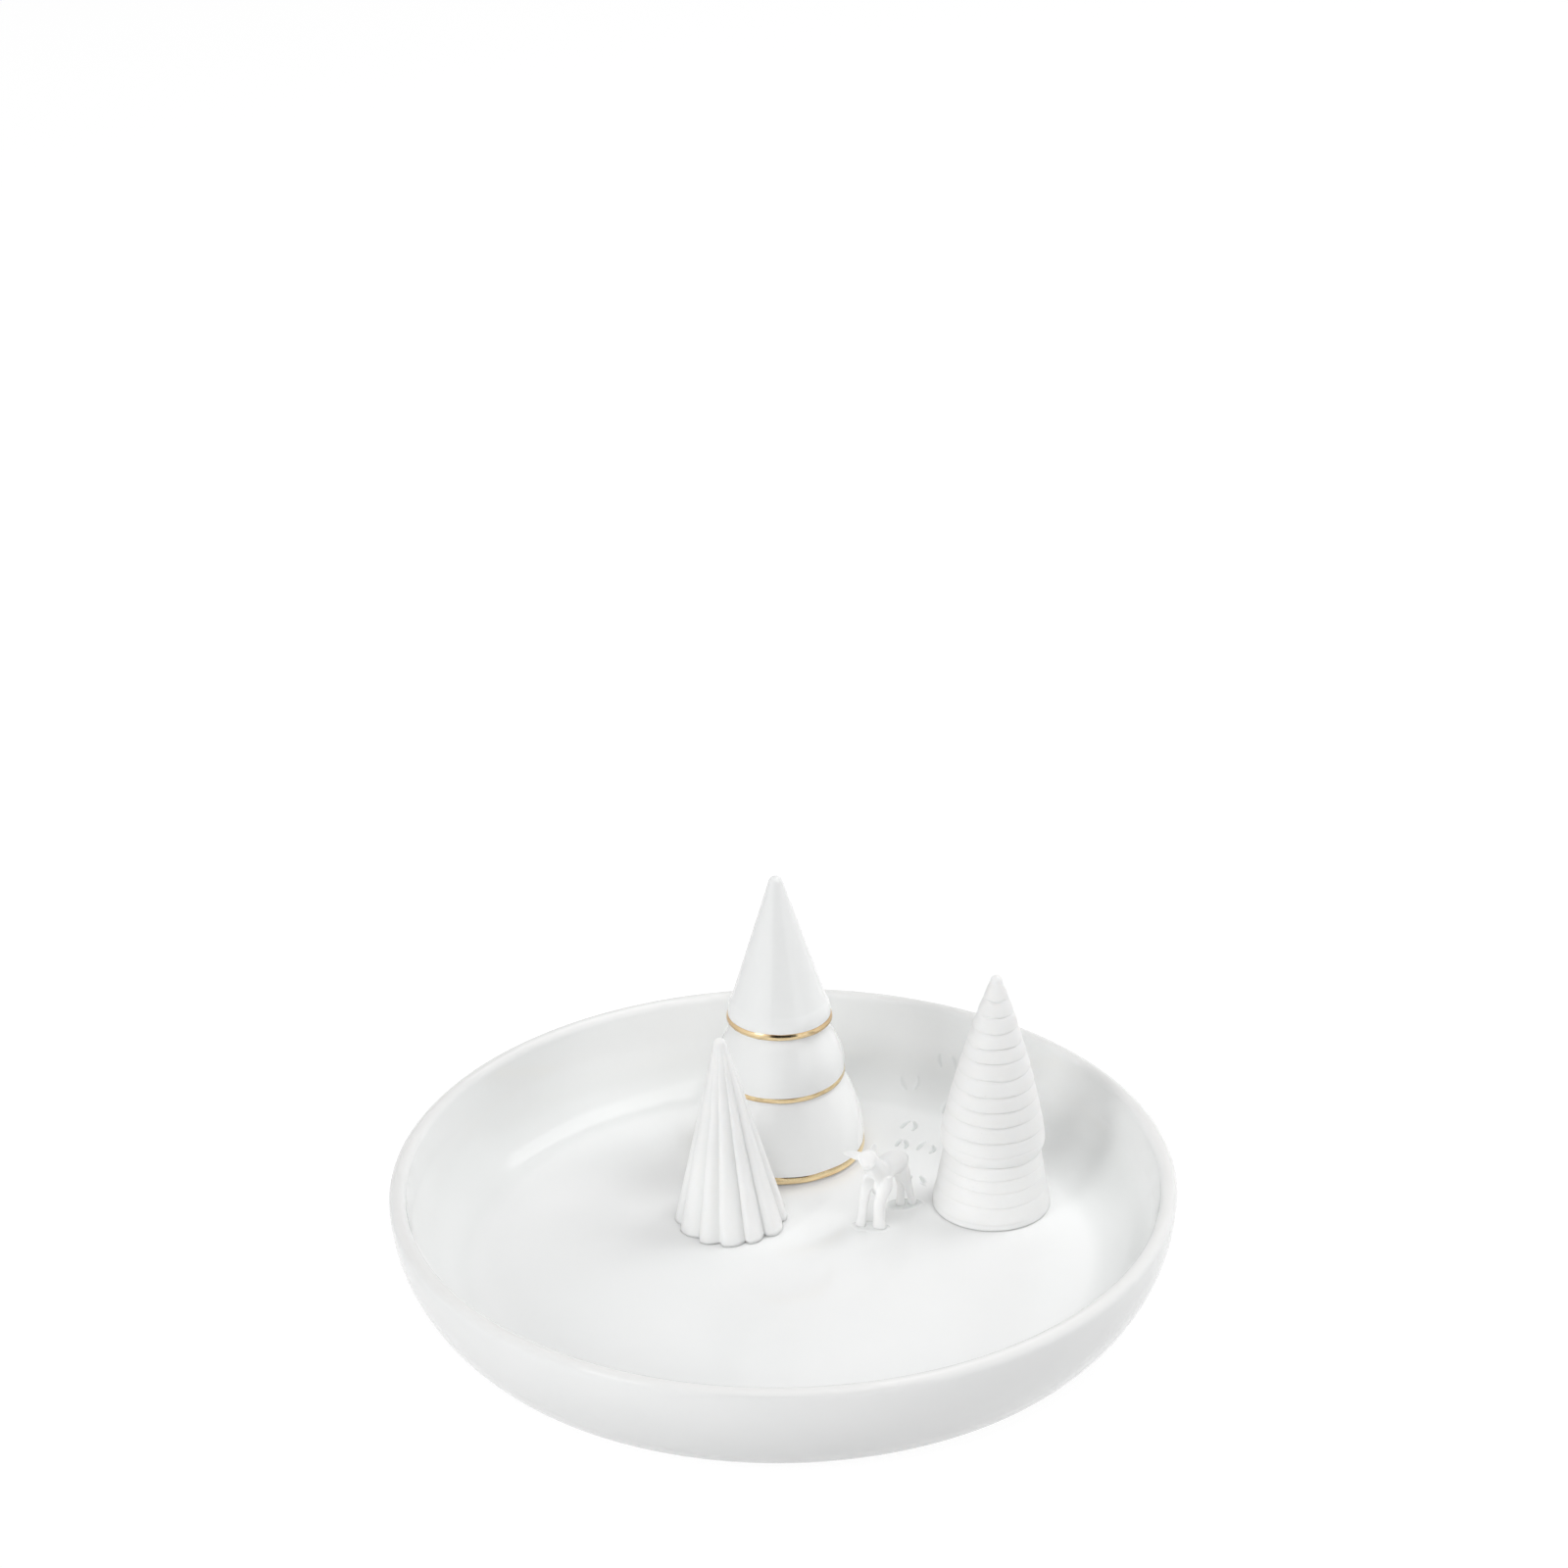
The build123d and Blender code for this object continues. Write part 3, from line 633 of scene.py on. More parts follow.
# From the front left round to the right: each flute's width against the others, and its ridge
FLUTE_WIDTHS = [345, 262, 285, 270, 327, 264, 264, 264, 264, 264, 264, 264, 264]
FLUTE_RIDGES = [
    10.3, 10.35, 10.4, 10.15, 10.7, 10.3, 10.35, 10.3, 10.4, 10.35, 10.4, 10.3, 10.35
]
FIRST_FLUTE = math.radians(-162.9)
FLUTE_DEPTH = 1.05
FLUTE_STEPS = 12
# Shares of a pleat's width: it comes up to the first, is level to the second, and then falls
PLEAT_UP = 0.24
PLEAT_LEVEL = 0.42
PLEAT_FALL = 0.58
PLEAT_SOFT = 0.25


def pleat(share):
    """One pleat from left to right: it comes up quickly, runs level and falls away gently."""
    if share < PLEAT_UP:
        rise = math.sin(math.pi / 2 * share / PLEAT_UP) ** 0.9
    else:
        rise = math.cos(math.pi / 2 * max(share - PLEAT_LEVEL, 0) / PLEAT_FALL)
    crest = math.hypot(1, PLEAT_SOFT) - PLEAT_SOFT
    return (math.hypot(rise, PLEAT_SOFT) - PLEAT_SOFT) / crest


def painted_pleat_shade(share):
    """How much shade is painted into the fold: most on the side that falls away from the light.
    """
    if share > 0.4:
        return 0.9 * (1 - pleat(share)) ** 1.2
    return 0.2 * (1 - pleat(share)) ** 3


def make_fluted_tree():
    turns, ridges, rises, painted_pleat_shades = [], [], [], []
    start = FIRST_FLUTE
    for width, ridge in zip(FLUTE_WIDTHS, FLUTE_RIDGES):
        sweep = 2 * math.pi * width / sum(FLUTE_WIDTHS)
        for i in range(FLUTE_STEPS):
            share = 0.5 - 0.5 * math.cos(math.pi * i / FLUTE_STEPS)
            turns.append(start + sweep * share)
            ridges.append(ridge)
            rises.append(pleat(share))
            painted_pleat_shades.append(painted_pleat_shade(share))
        start += sweep
    turns, ridges = np.array(turns), np.array(ridges)
    rises, painted_pleat_shades = np.array(rises), np.array(painted_pleat_shades)
    tip_radius, foot, sunk = FLUTED_TIP_RADIUS, FLUTED_FOOT_RADIUS, FLUTED_SUNK
    top = FLUTED_TIP - tip_radius
    unshaded = 0 * rises
    rings, painted_shade_rings = [], []
    for level in np.linspace(0, 1, 56):
        taper = (foot + (tip_radius - foot) * level) / foot
        fade = 1 - 0.55 * smooth_step(0.5, 0.95, level)
        ridge = (foot + (ridges - foot) * (1 - level)) * taper
        valley = ridge - FLUTE_DEPTH * taper * fade
        radius = valley + (ridge - valley) * rises
        uneven = [wander(4 * math.cos(t), 4 * math.sin(t), level * 9) for t in turns]
        radius += 0.05 * taper * np.array(uneven)
        height = np.full_like(turns, -sunk + (top + sunk) * level)
        rings.append(FLUTED.put(radius, turns, height, RIM_HEIGHT))
        painted_shade_rings.append(painted_pleat_shades * fade)
    # the tip is a dome on which the flutes die out
    for i in range(1, 6):
        angle = math.pi / 2 * i / 6
        shrink = math.cos(angle)
        ridge = tip_radius * shrink
        radius = ridge - FLUTE_DEPTH * (tip_radius / foot) * 0.45 * (1 - rises) * shrink
        height = np.full_like(turns, top + tip_radius * math.sin(angle))
        rings.append(FLUTED.put(radius, turns, height))
        painted_shade_rings.append(unshaded)
    rings.reverse()
    painted_shade_rings.reverse()
    under = foot + (ridges - foot) - FLUTE_DEPTH * (1 - rises) - 0.4
    rings.append(FLUTED.put(under, turns, np.full_like(turns, -sunk)))
    painted_shade_rings.append(unshaded)
    for radius, height in FLUTED_HOLLOW:
        rings.append(FLUTED.ring(radius, turns, height))
        painted_shade_rings.append(unshaded)
    tip, hollow_end = FLUTED.pole(FLUTED_TIP), FLUTED.pole(FLUTED_HOLLOW[-1][1])
    points, faces = closed_skin(tip, rings, hollow_end)
    mesh = mesh_of("fluted_fir", points, faces)
    # painted shade in the folds, darkest on the falling side of each pleat
    mark(mesh, "painted_shade", np.concatenate([[0], np.array(painted_shade_rings).ravel(), [0]]))
    set_in_place("fluted_fir", mesh, BISQUE, "white_bisque", "fluted_tree")


RINGED = Stance(38.25, 15.84, 0.5)
RINGED_TIP = 46.65
RINGED_FRONT = math.radians(-92)
# The foot's rim: (radius, height, lowest that it reaches)
RINGED_RIM = [
    (10.4, -0.3, SEAT_HEIGHT),
    (10.72, -0.3, RIM_HEIGHT),
    (10.85, 0.0, RIM_HEIGHT),
    (10.82, 0.35, SEAT_HEIGHT),
]
# The hollow inside: (radius, height)
RINGED_HOLLOW = [(8.6, -0.3), (8.6, 0.0), (6.55, 11.6), (1.4, 36.3)]
# Turned grooves from the foot up: (height, radius, depth, rise to the right),
# the rise for each millimetre of radius
GROOVES = [
    (0.9, 10.75, 0.10, 0.0),
    (4.1, 10.05, 0.10, 0.004),
    (6.9, 9.6, 0.12, -0.006),
    (9.2, 9.2, 0.12, 0.008),
    (11.6, 8.75, 0.20, 0.0),
    (14.2, 9.5, 0.12, 0.0),
    (16.8, 9.1, 0.26, 0.006),
    (19.9, 8.45, 0.28, 0.0),
    (22.6, 7.85, 0.26, 0.01),
    (25.35, 7.2, 0.28, 0.012),
    (28.3, 6.5, 0.28, 0.015),
    (31.35, 5.65, 0.26, 0.02),
    (33.85, 4.9, 0.26, 0.03),
    (36.7, 4.05, 0.24, 0.03),
    (39.45, 3.2, 0.22, 0.035),
    (42.35, 2.2, 0.20, 0.04),
    (45.3, 1.15, 0.0, 0.0),
]
# The ring over the waist swells out over the skirt
WAIST_RING = 4


def make_ringed_tree():
    turn = full_turn(168)
    shares = 0.5 - 0.5 * np.cos(np.linspace(0, math.pi, 15))
    # the tool bit deepest on the side that faces the front
    facing = np.abs(np.sin(turn - RINGED_FRONT)) + (np.cos(turn - RINGED_FRONT) < 0) * 0.3
    bite = 1 - 0.8 * smooth_step(0.4, 0.85, facing) + 0.35 * smooth_step(0.85, 1.0, facing)
    edges, depths = [], []
    for k, (height, radius, depth, rise) in enumerate(GROOVES):
        drift = [wander(1.4 * math.cos(t), 1.4 * math.sin(t), 3.7 * k) for t in turn]
        strength = [wander(1.9 * math.cos(t), 1.9 * math.sin(t), 50 + 2.9 * k) for t in turn]
        edges.append(height + radius * rise * np.cos(turn) + 0.3 * np.array(drift))
        depths.append(depth * bite * np.clip(1 + 0.8 * np.array(strength), 0.3, 1.4))
    unshaded = 0 * turn
    rings, painted_shade_rings = [], []
    for radius, height, lowest in RINGED_RIM:
        rings.append(RINGED.ring(radius, turn, height, lowest))
        painted_shade_rings.append(unshaded)
    for k in range(len(GROOVES) - 1):
        low_radius, high_radius = GROOVES[k][1], GROOVES[k + 1][1]
        for share in shares[:-1] if k < len(GROOVES) - 2 else shares:
            height = edges[k] + (edges[k + 1] - edges[k]) * share
            out = math.sin(math.pi / 2 * share) ** 0.8 if k == WAIST_RING else share
            radius = low_radius + (high_radius - low_radius) * out
            # each ring hangs a little over the one below it
            low_cut = math.exp(-((share / 0.045) ** 2))
            high_cut = math.exp(-(((1 - share) / 0.09) ** 2))
            lap = 0.5 * depths[k] * (1 - share) + 0.06 * (4 * share * (1 - share)) ** 0.6
            radius = radius + lap - 1.2 * depths[k] * low_cut - 0.45 * depths[k + 1] * high_cut
            rings.append(RINGED.put(radius, turn, height))
            # painted shade in each groove, under the ring that hangs over it
            painted_shade_rings.append((depths[k] * low_cut + 0.6 * depths[k + 1] * high_cut) / 0.3)
    dome_height, dome_radius = GROOVES[-1][:2]
    for i in range(1, 8):
        angle = math.pi / 2 * i / 8
        height = dome_height + (RINGED_TIP - dome_height) * math.sin(angle)
        rings.append(RINGED.ring(dome_radius * math.cos(angle), turn, height))
        painted_shade_rings.append(unshaded)
    rings.reverse()
    painted_shade_rings.reverse()
    for radius, height in RINGED_HOLLOW:
        rings.append(RINGED.ring(radius, turn, height))
        painted_shade_rings.append(unshaded)
    tip, hollow_end = RINGED.pole(RINGED_TIP), RINGED.pole(RINGED_HOLLOW[-1][1])
    points, faces = closed_skin(tip, rings, hollow_end)
    mesh = mesh_of("ringed_fir", points, faces)
    mark(mesh, "painted_shade", np.concatenate([[0], np.array(painted_shade_rings).ravel(), [0]]))
    set_in_place("ringed_fir", mesh, BISQUE, "white_bisque", "ringed_tree")


# ---- Fawn ----

FAWN_PLACE = np.array([19.48, 11.37, SEAT_HEIGHT])
FAWN_HEADING = math.radians(-131.5)
FAWN_AHEAD = np.array([math.cos(FAWN_HEADING), math.sin(FAWN_HEADING), 0])
FAWN_LEFT = np.array([-math.sin(FAWN_HEADING), math.cos(FAWN_HEADING), 0])
FAWN_UP = np.array([0, 0, 1])
# Each limb runs through sections: (ahead, left, up, half width, half height)
FAWN_LIMBS = {
    "body": [
        (-4.10, -0.11, 10.10, 0.50, 0.50),
        (-3.70, -0.11, 10.10, 1.30, 1.30),
        (-2.60, -0.06, 10.20, 1.90, 2.00),
        (-0.60, 0.00, 10.46, 2.15, 2.25),
        (1.60, 0.14, 10.60, 2.30, 2.45),
        (3.10, 0.20, 9.40, 2.10, 3.00),
        (4.60, 0.20, 10.20, 1.70, 1.95),
        (5.50, 0.15, 10.30, 0.90, 1.00),
    ],
    "neck": [
        (3.40, 0.31, 10.41, 1.90, 2.10),
        (4.60, 0.45, 12.19, 1.60, 1.75),
        (5.60, 0.50, 13.61, 1.35, 1.40),
        (6.10, 0.31, 14.40, 1.10, 1.10),
    ],
    "head": [
        (5.14, -0.90, 15.00, 0.60, 0.60),
        (5.45, -0.64, 14.84, 1.25, 1.25),
        (5.99, -0.22, 14.56, 1.68, 1.66),
        (6.54, 0.20, 14.30, 1.62, 1.58),
        (7.09, 0.64, 14.12, 1.28, 1.26),
        (7.60, 1.03, 13.96, 1.00, 0.98),
        (8.02, 1.36, 13.85, 0.82, 0.76),
        (8.22, 1.50, 13.80, 0.50, 0.46),
    ],
    "tail": [
        (-3.20, 0.00, 11.01, 0.75, 0.75),
        (-4.30, 0.00, 10.20, 0.62, 0.62),
        (-4.90, 0.00, 9.20, 0.35, 0.35),
    ],
    "right foreleg": [
        (4.30, -1.09, 10.20, 1.25, 1.25),
        (4.90, -1.42, 8.00, 1.10, 1.04),
        (5.70, -1.47, 4.51, 0.92, 0.80),
        (6.05, -1.54, 1.89, 0.90, 0.72),
        (6.18, -1.70, 0.60, 1.02, 0.88),
        (6.22, -1.72, -0.30, 1.06, 0.92),
    ],
    "chest": [
        (2.60, 0.10, 10.40, 1.60, 1.60),
        (2.90, 0.05, 8.60, 1.65, 1.50),
        (3.20, -0.10, 6.90, 1.50, 1.10),
        (3.40, -0.20, 5.70, 0.95, 0.60),
    ],
    "left foreleg": [
        (3.10, 1.20, 10.20, 1.45, 1.45),
        (3.30, 1.55, 8.20, 1.45, 1.45),
        (4.10, 1.40, 6.10, 1.22, 1.12),
        (4.44, 1.22, 4.00, 1.20, 1.05),
        (4.50, 1.22, 1.89, 1.18, 1.00),
        (4.52, 1.25, 0.60, 1.30, 1.15),
        (4.52, 1.25, -0.30, 1.33, 1.20),
    ],
    "right hind leg": [
        (-2.20, -0.59, 10.20, 1.30, 1.30),
        (-2.80, -0.95, 8.20, 1.40, 1.40),
        (-4.10, -0.90, 4.90, 0.85, 0.85),
        (-4.10, -0.90, 2.20, 0.70, 0.70),
        (-4.00, -0.90, 0.60, 0.83, 0.83),
        (-4.00, -0.90, -0.30, 0.85, 0.85),
    ],
    "left hind leg": [
        (-2.20, 0.45, 10.20, 1.30, 1.30),
        (-2.60, 0.70, 8.20, 1.40, 1.40),
        (-4.10, 0.75, 4.80, 0.85, 0.85),
        (-5.10, 0.62, 2.20, 0.68, 0.68),
        (-5.60, 0.60, 0.60, 0.82, 0.82),
        (-5.70, 0.60, -0.30, 0.85, 0.85),
    ],
}
# Each ear: (root, tip, way that its hollow faces, half width)
FAWN_EARS = [
    ((6.2, -0.5, 14.5), (8.28, -4.3, 15.1), (0.75, 0.35, 0.15), 0.85),
    ((5.9, 0.3, 14.6), (4.2, 0.1, 16.95), (0.5, 0.9, 0.1), 0.75),
]
# Dents for the nose and in the chest between the forelegs: (middle, radius, depth, way in)
FAWN_DENTS = [
    ((8.55, 1.85, 14.3), 0.42, 0.3, (-0.70, -0.60, -0.35)),
    ((5.75, -0.1, 8.6), 1.1, 1.7, (-1.0, 0.0, 0.1)),
]


def fawn_point(ahead, left, up):
    return FAWN_PLACE + ahead * FAWN_AHEAD + left * FAWN_LEFT + up * FAWN_UP


def fawn_way(ahead, left, up):
    return ahead * FAWN_AHEAD + left * FAWN_LEFT + up * FAWN_UP


def through(stations, share):
    """A smooth curve through all the stations, at a share of the way along them."""
    place = share * (len(stations) - 1)
    k = min(int(place), len(stations) - 2)
    t = place - k
    before, first = stations[max(k - 1, 0)], stations[k]
    second, after = stations[k + 1], stations[min(k + 2, len(stations) - 1)]
    return 0.5 * (
        2 * first
        + (second - before) * t
        + (2 * before - 5 * first + 4 * second - after) * t**2
        + (3 * first - before - 3 * second + after) * t**3
    )


def limb(sections):
    """A closed skin round one limb's sections, with rounded ends."""
    stations = np.array(sections, float)
    turn = full_turn(24)
    facing = fawn_point(*stations[-1][:3]) - fawn_point(*stations[0][:3])
    facing /= np.linalg.norm(facing)
    side = FAWN_LEFT - FAWN_LEFT.dot(facing) * facing
    side /= np.linalg.norm(side)
    over = np.cross(facing, side)
    rings = []
    for share in np.linspace(0, 1, 6 * (len(stations) - 1) + 1):
        ahead, left, up, half_width, half_height = through(stations, share)
        middle = fawn_point(ahead, left, up)
        rings.append(
            middle
            + np.cos(turn)[:, None] * side * half_width
            + np.sin(turn)[:, None] * over * half_height
        )
    first, last = fawn_point(*stations[0][:3]), fawn_point(*stations[-1][:3])
    return closed_skin(first - 0.2 * facing, rings, last + 0.2 * facing)


def ear(root, tip, opening, half_width):
    """A leaf-shaped ear, hollowed on the side that faces out."""
    start, end = fawn_point(*root), fawn_point(*tip)
    along = end - start
    length = np.linalg.norm(along)
    along /= length
    face = fawn_way(*opening)
    face -= face.dot(along) * along
    face /= np.linalg.norm(face)
    side = np.cross(along, face)
    turn = full_turn(20)
    rings = []
    for share in np.linspace(0.02, 0.98, 16):
        width = half_width * math.sin(math.pi * share**0.75) ** 0.75 * (1 - 0.2 * share) + 0.12
        thick = 0.32 * (1 - 0.45 * share)
        across = np.cos(turn) * width
        cup = 0.75 * np.clip(1 - (across / width) ** 2, 0, 1) * width * 0.55
        out = np.sin(turn) * thick - cup
        middle = start + along * length * share
        rings.append(middle + across[:, None] * side + out[:, None] * face)
    return closed_skin(start, rings, end)


def make_fawn():
    """The limbs are pressed together into one body, and the joins are smoothed as wet clay."""
    skins = [limb(sections) for sections in FAWN_LIMBS.values()]
    skins += [ear(*shape) for shape in FAWN_EARS]
    points, faces = [], []
    for more_points, more_faces in skins:
        step = len(points)
        points += more_points
        faces += [tuple(i + step for i in face) for face in more_faces]
    rough = bpy.data.objects.new("fawn_clay", mesh_of("fawn_clay", points, faces))
    scene.collection.objects.link(rough)
    press = rough.modifiers.new("press", "REMESH")
    press.mode = "VOXEL"
    press.voxel_size = 0.13 * MM
    press.use_smooth_shade = True
    rub = rough.modifiers.new("rub", "SMOOTH")
    rub.factor = 0.5
    rub.iterations = 5
    smoothed = rough.evaluated_get(bpy.context.evaluated_depsgraph_get())
    mesh = bpy.data.meshes.new_from_object(smoothed)
    bpy.data.objects.remove(rough)
    places = np.zeros(len(mesh.vertices) * 3)
    mesh.vertices.foreach_get("co", places)
    places = places.reshape(-1, 3)
    places[:, 2] = np.maximum(places[:, 2], SEAT_HEIGHT * MM)
    dent_painted_shade = np.zeros(len(places))
    for middle, radius, depth, way in FAWN_DENTS:
        away = np.linalg.norm(places / MM - fawn_point(*middle), axis=1)
        near = np.exp(-((away / radius) ** 2))
        places += near[:, None] * fawn_way(*way) * depth * MM
        dent_painted_shade = np.maximum(dent_painted_shade, near)
    mesh.vertices.foreach_set("co", places.ravel())
    mesh.polygons.foreach_set("use_smooth", [True] * len(mesh.polygons))
    mesh.update()
    mesh.name = "fawn_figure"
    # painted shade in the nose and chest dents
    mark(mesh, "painted_shade", dent_painted_shade)
    set_in_place("fawn_figure", mesh, BISQUE, "white_bisque", "fawn")


# ---- Glaze that holds the figures ----

# Each ring of glaze: (name, CAD node, its tree, inner and outer radius, how far it runs out)
COLLARS = [
    ("tiered_fir_glaze", "tiered_tree_joint", TIERED, TIERED_HOLLOW[0][0], 14.9, 0.8),
    ("fluted_fir_glaze", "fluted_tree_joint", FLUTED, FLUTED_HOLLOW[0][0], 8.5, 0.4),
    ("ringed_fir_glaze", "ringed_tree_joint", RINGED, RINGED_HOLLOW[0][0], 10.1, 0.4),
]
# Each puddle: (name, CAD node, its two hooves, how far it reaches, seed, how grey it pools, a
# grey that paints the shadow round the hooves)
PUDDLES = [
    ("fore_hoof_glaze", "fawn_front_joint", (6.22, -1.72), (4.52, 1.25), 1.85, 2.0, 0.4),
    ("hind_hoof_glaze", "fawn_hind_joint", (-3.50, -1.40), (-5.70, 0.60), 2.0, 5.0, 1.0),
]
# A puddle from its edge inwards: (share of its reach, height above the floor)
PUDDLE_SECTION = [
    (1.0, -0.04),
    (0.985, 0.02),
    (0.94, 0.07),
    (0.88, 0.14),
    (0.8, 0.22),
    (0.7, 0.28),
    (0.4, 0.3),
]


def make_collar(name, node, stance, inner, outer, reach):
    """A ring of glaze from under a foot, hollowed where it runs out on to the floor."""
    turn = full_turn(160)
    section = [(inner, UNDER_FLOOR), (inner, SEAT_HEIGHT), (outer, SEAT_HEIGHT)]
    for i in range(1, 8):
        share = i / 7
        height = FLOOR_HEIGHT + (SEAT_HEIGHT - FLOOR_HEIGHT) * (1 - share) ** 2.2
        section.append((outer + reach * share, height))
    section.append((outer + reach, UNDER_FLOOR))
    rings = []
    for radius, height in section:
        spread = np.full_like(turn, radius)
        if radius > outer + reach * 0.5:
            uneven = [wander(3 * math.cos(t), 3 * math.sin(t), outer) for t in turn]
            spread += 0.12 * np.array(uneven)
        x = stance.place[0] + spread * np.cos(turn)
        y = stance.place[1] + spread * np.sin(turn)
        rings.append(np.stack([x, y, np.full_like(turn, height)], axis=1))
    points, faces = closed_hoop(rings)
    mesh = mesh_of(name, points, faces)
    set_in_place(name, mesh, GLAZE, "white_glaze", node)


def make_puddle(name, node, first, second, reach, seed, pool_and_painted_shade):
    """A flat drop of glaze round two hooves."""
    start, end = (fawn_point(*hoof, 0)[:2] for hoof in (first, second))
    turn = full_turn(96)
    way = end - start
    half = np.linalg.norm(way) / 2
    way /= 2 * half
    aside = np.array([-way[1], way[0]])
    middle = (start + end) / 2
    rings = []
    for share, height in PUDDLE_SECTION:
        ring = []
        for t in turn:
            loose = 1 + 0.16 * wander(1.7 * math.cos(t), 1.7 * math.sin(t), seed)
            stretch = math.copysign(half, math.cos(t)) * abs(math.cos(t)) ** 0.6
            along = (stretch + reach * loose * math.cos(t)) * share
            beside = reach * loose * math.sin(t) * share
            spot = middle + way * along + aside * beside
            ring.append((*spot, FLOOR_HEIGHT + height))
        rings.append(ring)
    points, faces = closed_skin((*middle, UNDER_FLOOR), rings, (*middle, SEAT_HEIGHT))
    mesh = mesh_of(name, points, faces)
    fullest = PUDDLE_SECTION[-1][1]
    thick = [0] + [height / fullest for _, height in PUDDLE_SECTION for _ in turn] + [1]
    # the thick glaze is greyed as painted shadow under the fawn
    mark(mesh, "pool_and_painted_shade", pool_and_painted_shade * np.clip(thick, 0, 1))
    set_in_place(name, mesh, GLAZE, "white_glaze", node)


# ---- Studio ----

# The camera's place in millimetres, its tilt down and its slight roll in radians, and its lens
CAMERA_PLACE = (1.114, -543.905, 344.994)
CAMERA_TILT = 0.42802
CAMERA_ROLL = 0.01344
CAMERA_LENS = 81
# The sheets and the lamps are placed in metres. Each sheet is given by its four corners.
TABLE = [(-4, -4, 0), (4, -4, 0), (4, 4, 0), (-4, 4, 0)]
DARK_BOARD = [
    (-0.43, -1.14, 0.12),
    (0.76, -0.96, 0.12),
    (0.76, -0.96, 1.1),
    (-0.43, -1.14, 1.1),
]
BRIGHT_CARD = [(0.68, 0.72, 1), (0.28, 1.0, 1), (0.08, 0.66, 1), (0.24, -0.12, 1)]
# The world is white to the camera and in mirrors, and only this bright as a light
WORLD_FILL = 0.03
# What most lamps face
DISH_MIDDLE = (0, 0, 0)
# Each lamp: (name, place, aim, turn in degrees, width, depth, power, whether gloss mirrors it)
LAMPS = [
    ("overhead", (0.13, 0.67, 1.0), (0.13, 0.67, 0), 24.7, 1.12, 0.87, 2.6, False),
    ("left_card", (-0.72, -0.62, 0.6), DISH_MIDDLE, 0, 0.3, 0.3, 0.9, True),
    ("front_left", (-0.72, -0.62, 0.6), DISH_MIDDLE, 0, 0.3, 0.3, 1.5, False),
    ("low_left", (-0.95, -0.45, 0.3), DISH_MIDDLE, 0, 0.9, 0.4, 3.05, False),
    ("front_high", (-0.1, -0.6, 1.1), DISH_MIDDLE, 0, 0.6, 0.5, 1.4, False),
    ("front", (-0.1, -0.9, 0.7), DISH_MIDDLE, 0, 0.7, 0.5, 2.85, False),
    ("front_right", (0.5, -0.5, 0.9), DISH_MIDDLE, 0, 0.4, 0.4, 1.55, False),
    ("right", (0.55, 0.25, 1.0), DISH_MIDDLE, 0, 0.45, 0.45, 3.3, False),
    ("low_right", (1.0, 0.0, 0.35), DISH_MIDDLE, 0, 0.6, 0.4, 2.2, False),
    ("back_right", (0.75, 0.65, 0.45), DISH_MIDDLE, 0, 0.6, 0.5, 2.0, False),
]


def point_camera():
    ahead = Vector((0, math.cos(CAMERA_TILT), -math.sin(CAMERA_TILT)))
    right = Vector((1, 0, 0))
    down = ahead.cross(right)
    across = right * math.cos(CAMERA_ROLL) + down * math.sin(CAMERA_ROLL)
    below = down * math.cos(CAMERA_ROLL) - right * math.sin(CAMERA_ROLL)
    lens = bpy.data.cameras.new("camera")
    lens.lens = CAMERA_LENS
    lens.sensor_width = 36
    lens.clip_start = 0.01
    lens.clip_end = 100
    camera = bpy.data.objects.new("camera", lens)
    turned = Matrix((across, -below, -ahead)).transposed().to_4x4()
    camera.matrix_world = Matrix.Translation(Vector(CAMERA_PLACE) * MM) @ turned
    scene.collection.objects.link(camera)
    scene.camera = camera


def soft_box(name, place, aim, turn, width, depth, power, mirrored):
    """A lamp with a flat, even face."""
    light = bpy.data.lights.new(name, "AREA")
    light.shape = "RECTANGLE"
    light.size = width
    light.size_y = depth
    light.energy = power
    lamp = bpy.data.objects.new(name, light)
    facing = (Vector(aim) - Vector(place)).to_track_quat("-Z", "Y").to_matrix().to_4x4()
    turned = Matrix.Rotation(math.radians(turn), 4, "Z")
    lamp.matrix_world = Matrix.Translation(place) @ facing @ turned
    lamp.visible_glossy = mirrored
    scene.collection.objects.link(lamp)


def flat_sheet(name, corners, finish):
    mesh = bpy.data.meshes.new(name)
    mesh.from_pydata(corners, [], [(0, 1, 2, 3)])
    sheet = bpy.data.objects.new(name, mesh)
    scene.collection.objects.link(sheet)
    mesh.materials.append(finish)
    return sheet


def seen_white(f):
    """1 for rays from the camera, in mirrors and through glass."""
    seen = f.node("ShaderNodeLightPath", output="Is Camera Ray")
    mirrored = f.node("ShaderNodeLightPath", output="Is Glossy Ray")
    through_glass = f.node("ShaderNodeLightPath", output="Is Transmission Ray")
    sockets = {0: seen, 1: mirrored + through_glass}
    return f.node("ShaderNodeMath", {"operation": "MAXIMUM"}, sockets)


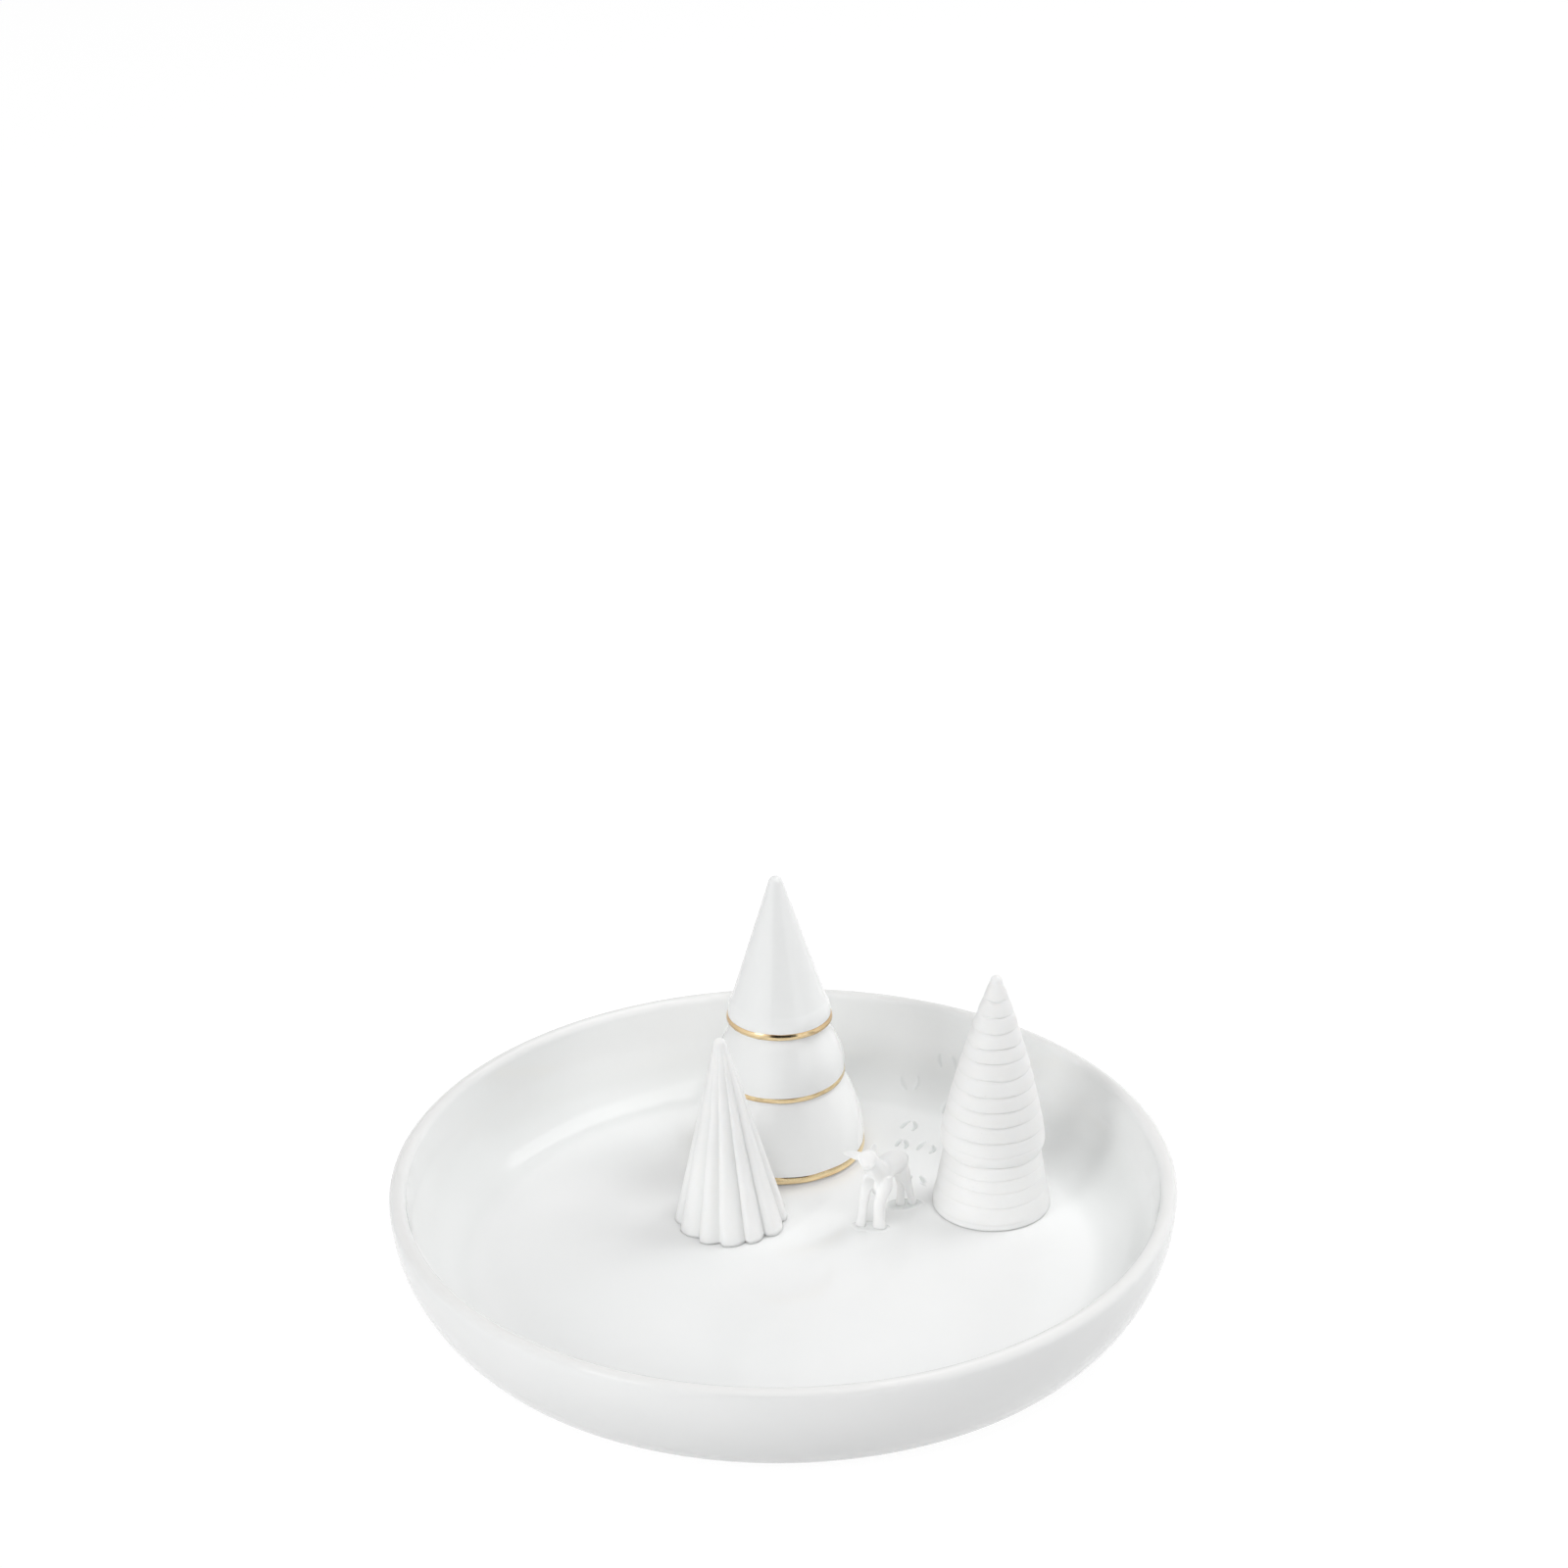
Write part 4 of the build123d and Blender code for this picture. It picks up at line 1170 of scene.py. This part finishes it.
def table_finish():
    """White paper that glows in the camera's view, so that only a trace of shadow shows."""
    f = Finish(bpy.data.materials.new("table_white"))
    paper = f.blend(f.grain(60, 2), (0.79, 0.79, 0.79, 1), (0.82, 0.82, 0.82, 1))
    matt = f.node("ShaderNodeBsdfDiffuse", sockets={"Color": paper, "Roughness": 0.5})
    white = f.node("ShaderNodeEmission", sockets={"Color": (1, 1, 1, 1), "Strength": 1.06})
    mixed = f.node("ShaderNodeMixShader", sockets={0: seen_white(f) * 0.9, 1: matt, 2: white})
    return f.shown_as(mixed)


def dark_board_finish():
    f = Finish(bpy.data.materials.new("dark_board"))
    felt = f.blend(f.grain(40, 2), (0.02, 0.02, 0.02, 1), (0.03, 0.03, 0.03, 1))
    matt = f.node("ShaderNodeBsdfDiffuse", sockets={"Color": felt, "Roughness": 1.0})
    return f.shown_as(matt)


def bright_card_finish():
    f = Finish(bpy.data.materials.new("bright_card"))
    glow = f.blend(f.grain(90, 2), (0.97, 0.97, 0.97, 1), (1, 1, 1, 1))
    light = f.node("ShaderNodeEmission", sockets={"Color": glow, "Strength": 2.4})
    return f.shown_as(light)


def light_world():
    f = Finish(bpy.data.worlds.new("studio"))
    strength = WORLD_FILL + (1 - WORLD_FILL) * seen_white(f)
    glow = f.node("ShaderNodeBackground", sockets={"Color": (1, 1, 1, 1), "Strength": strength})
    scene.world = f.shown_as(glow, "ShaderNodeOutputWorld")


def set_studio():
    flat_sheet("table", TABLE, table_finish())
    dark_board = flat_sheet("dark_board", DARK_BOARD, dark_board_finish())
    bright_card = flat_sheet("bright_card", BRIGHT_CARD, bright_card_finish())
    # both are only met in the gloss of the glaze and the gold
    for sheet in (dark_board, bright_card):
        sheet.visible_camera = False
        sheet.visible_diffuse = False
        sheet.visible_shadow = False
    light_world()
    for lamp in LAMPS:
        soft_box(*lamp)
    scene.view_settings.view_transform = "Standard"


point_camera()
set_studio()
make_dish()
make_tiered_tree()
for gold_line in GOLD_LINES:
    make_gold_line(*gold_line)
make_fluted_tree()
make_ringed_tree()
make_fawn()
for collar in COLLARS:
    make_collar(*collar)
for puddle in PUDDLES:
    make_puddle(*puddle)
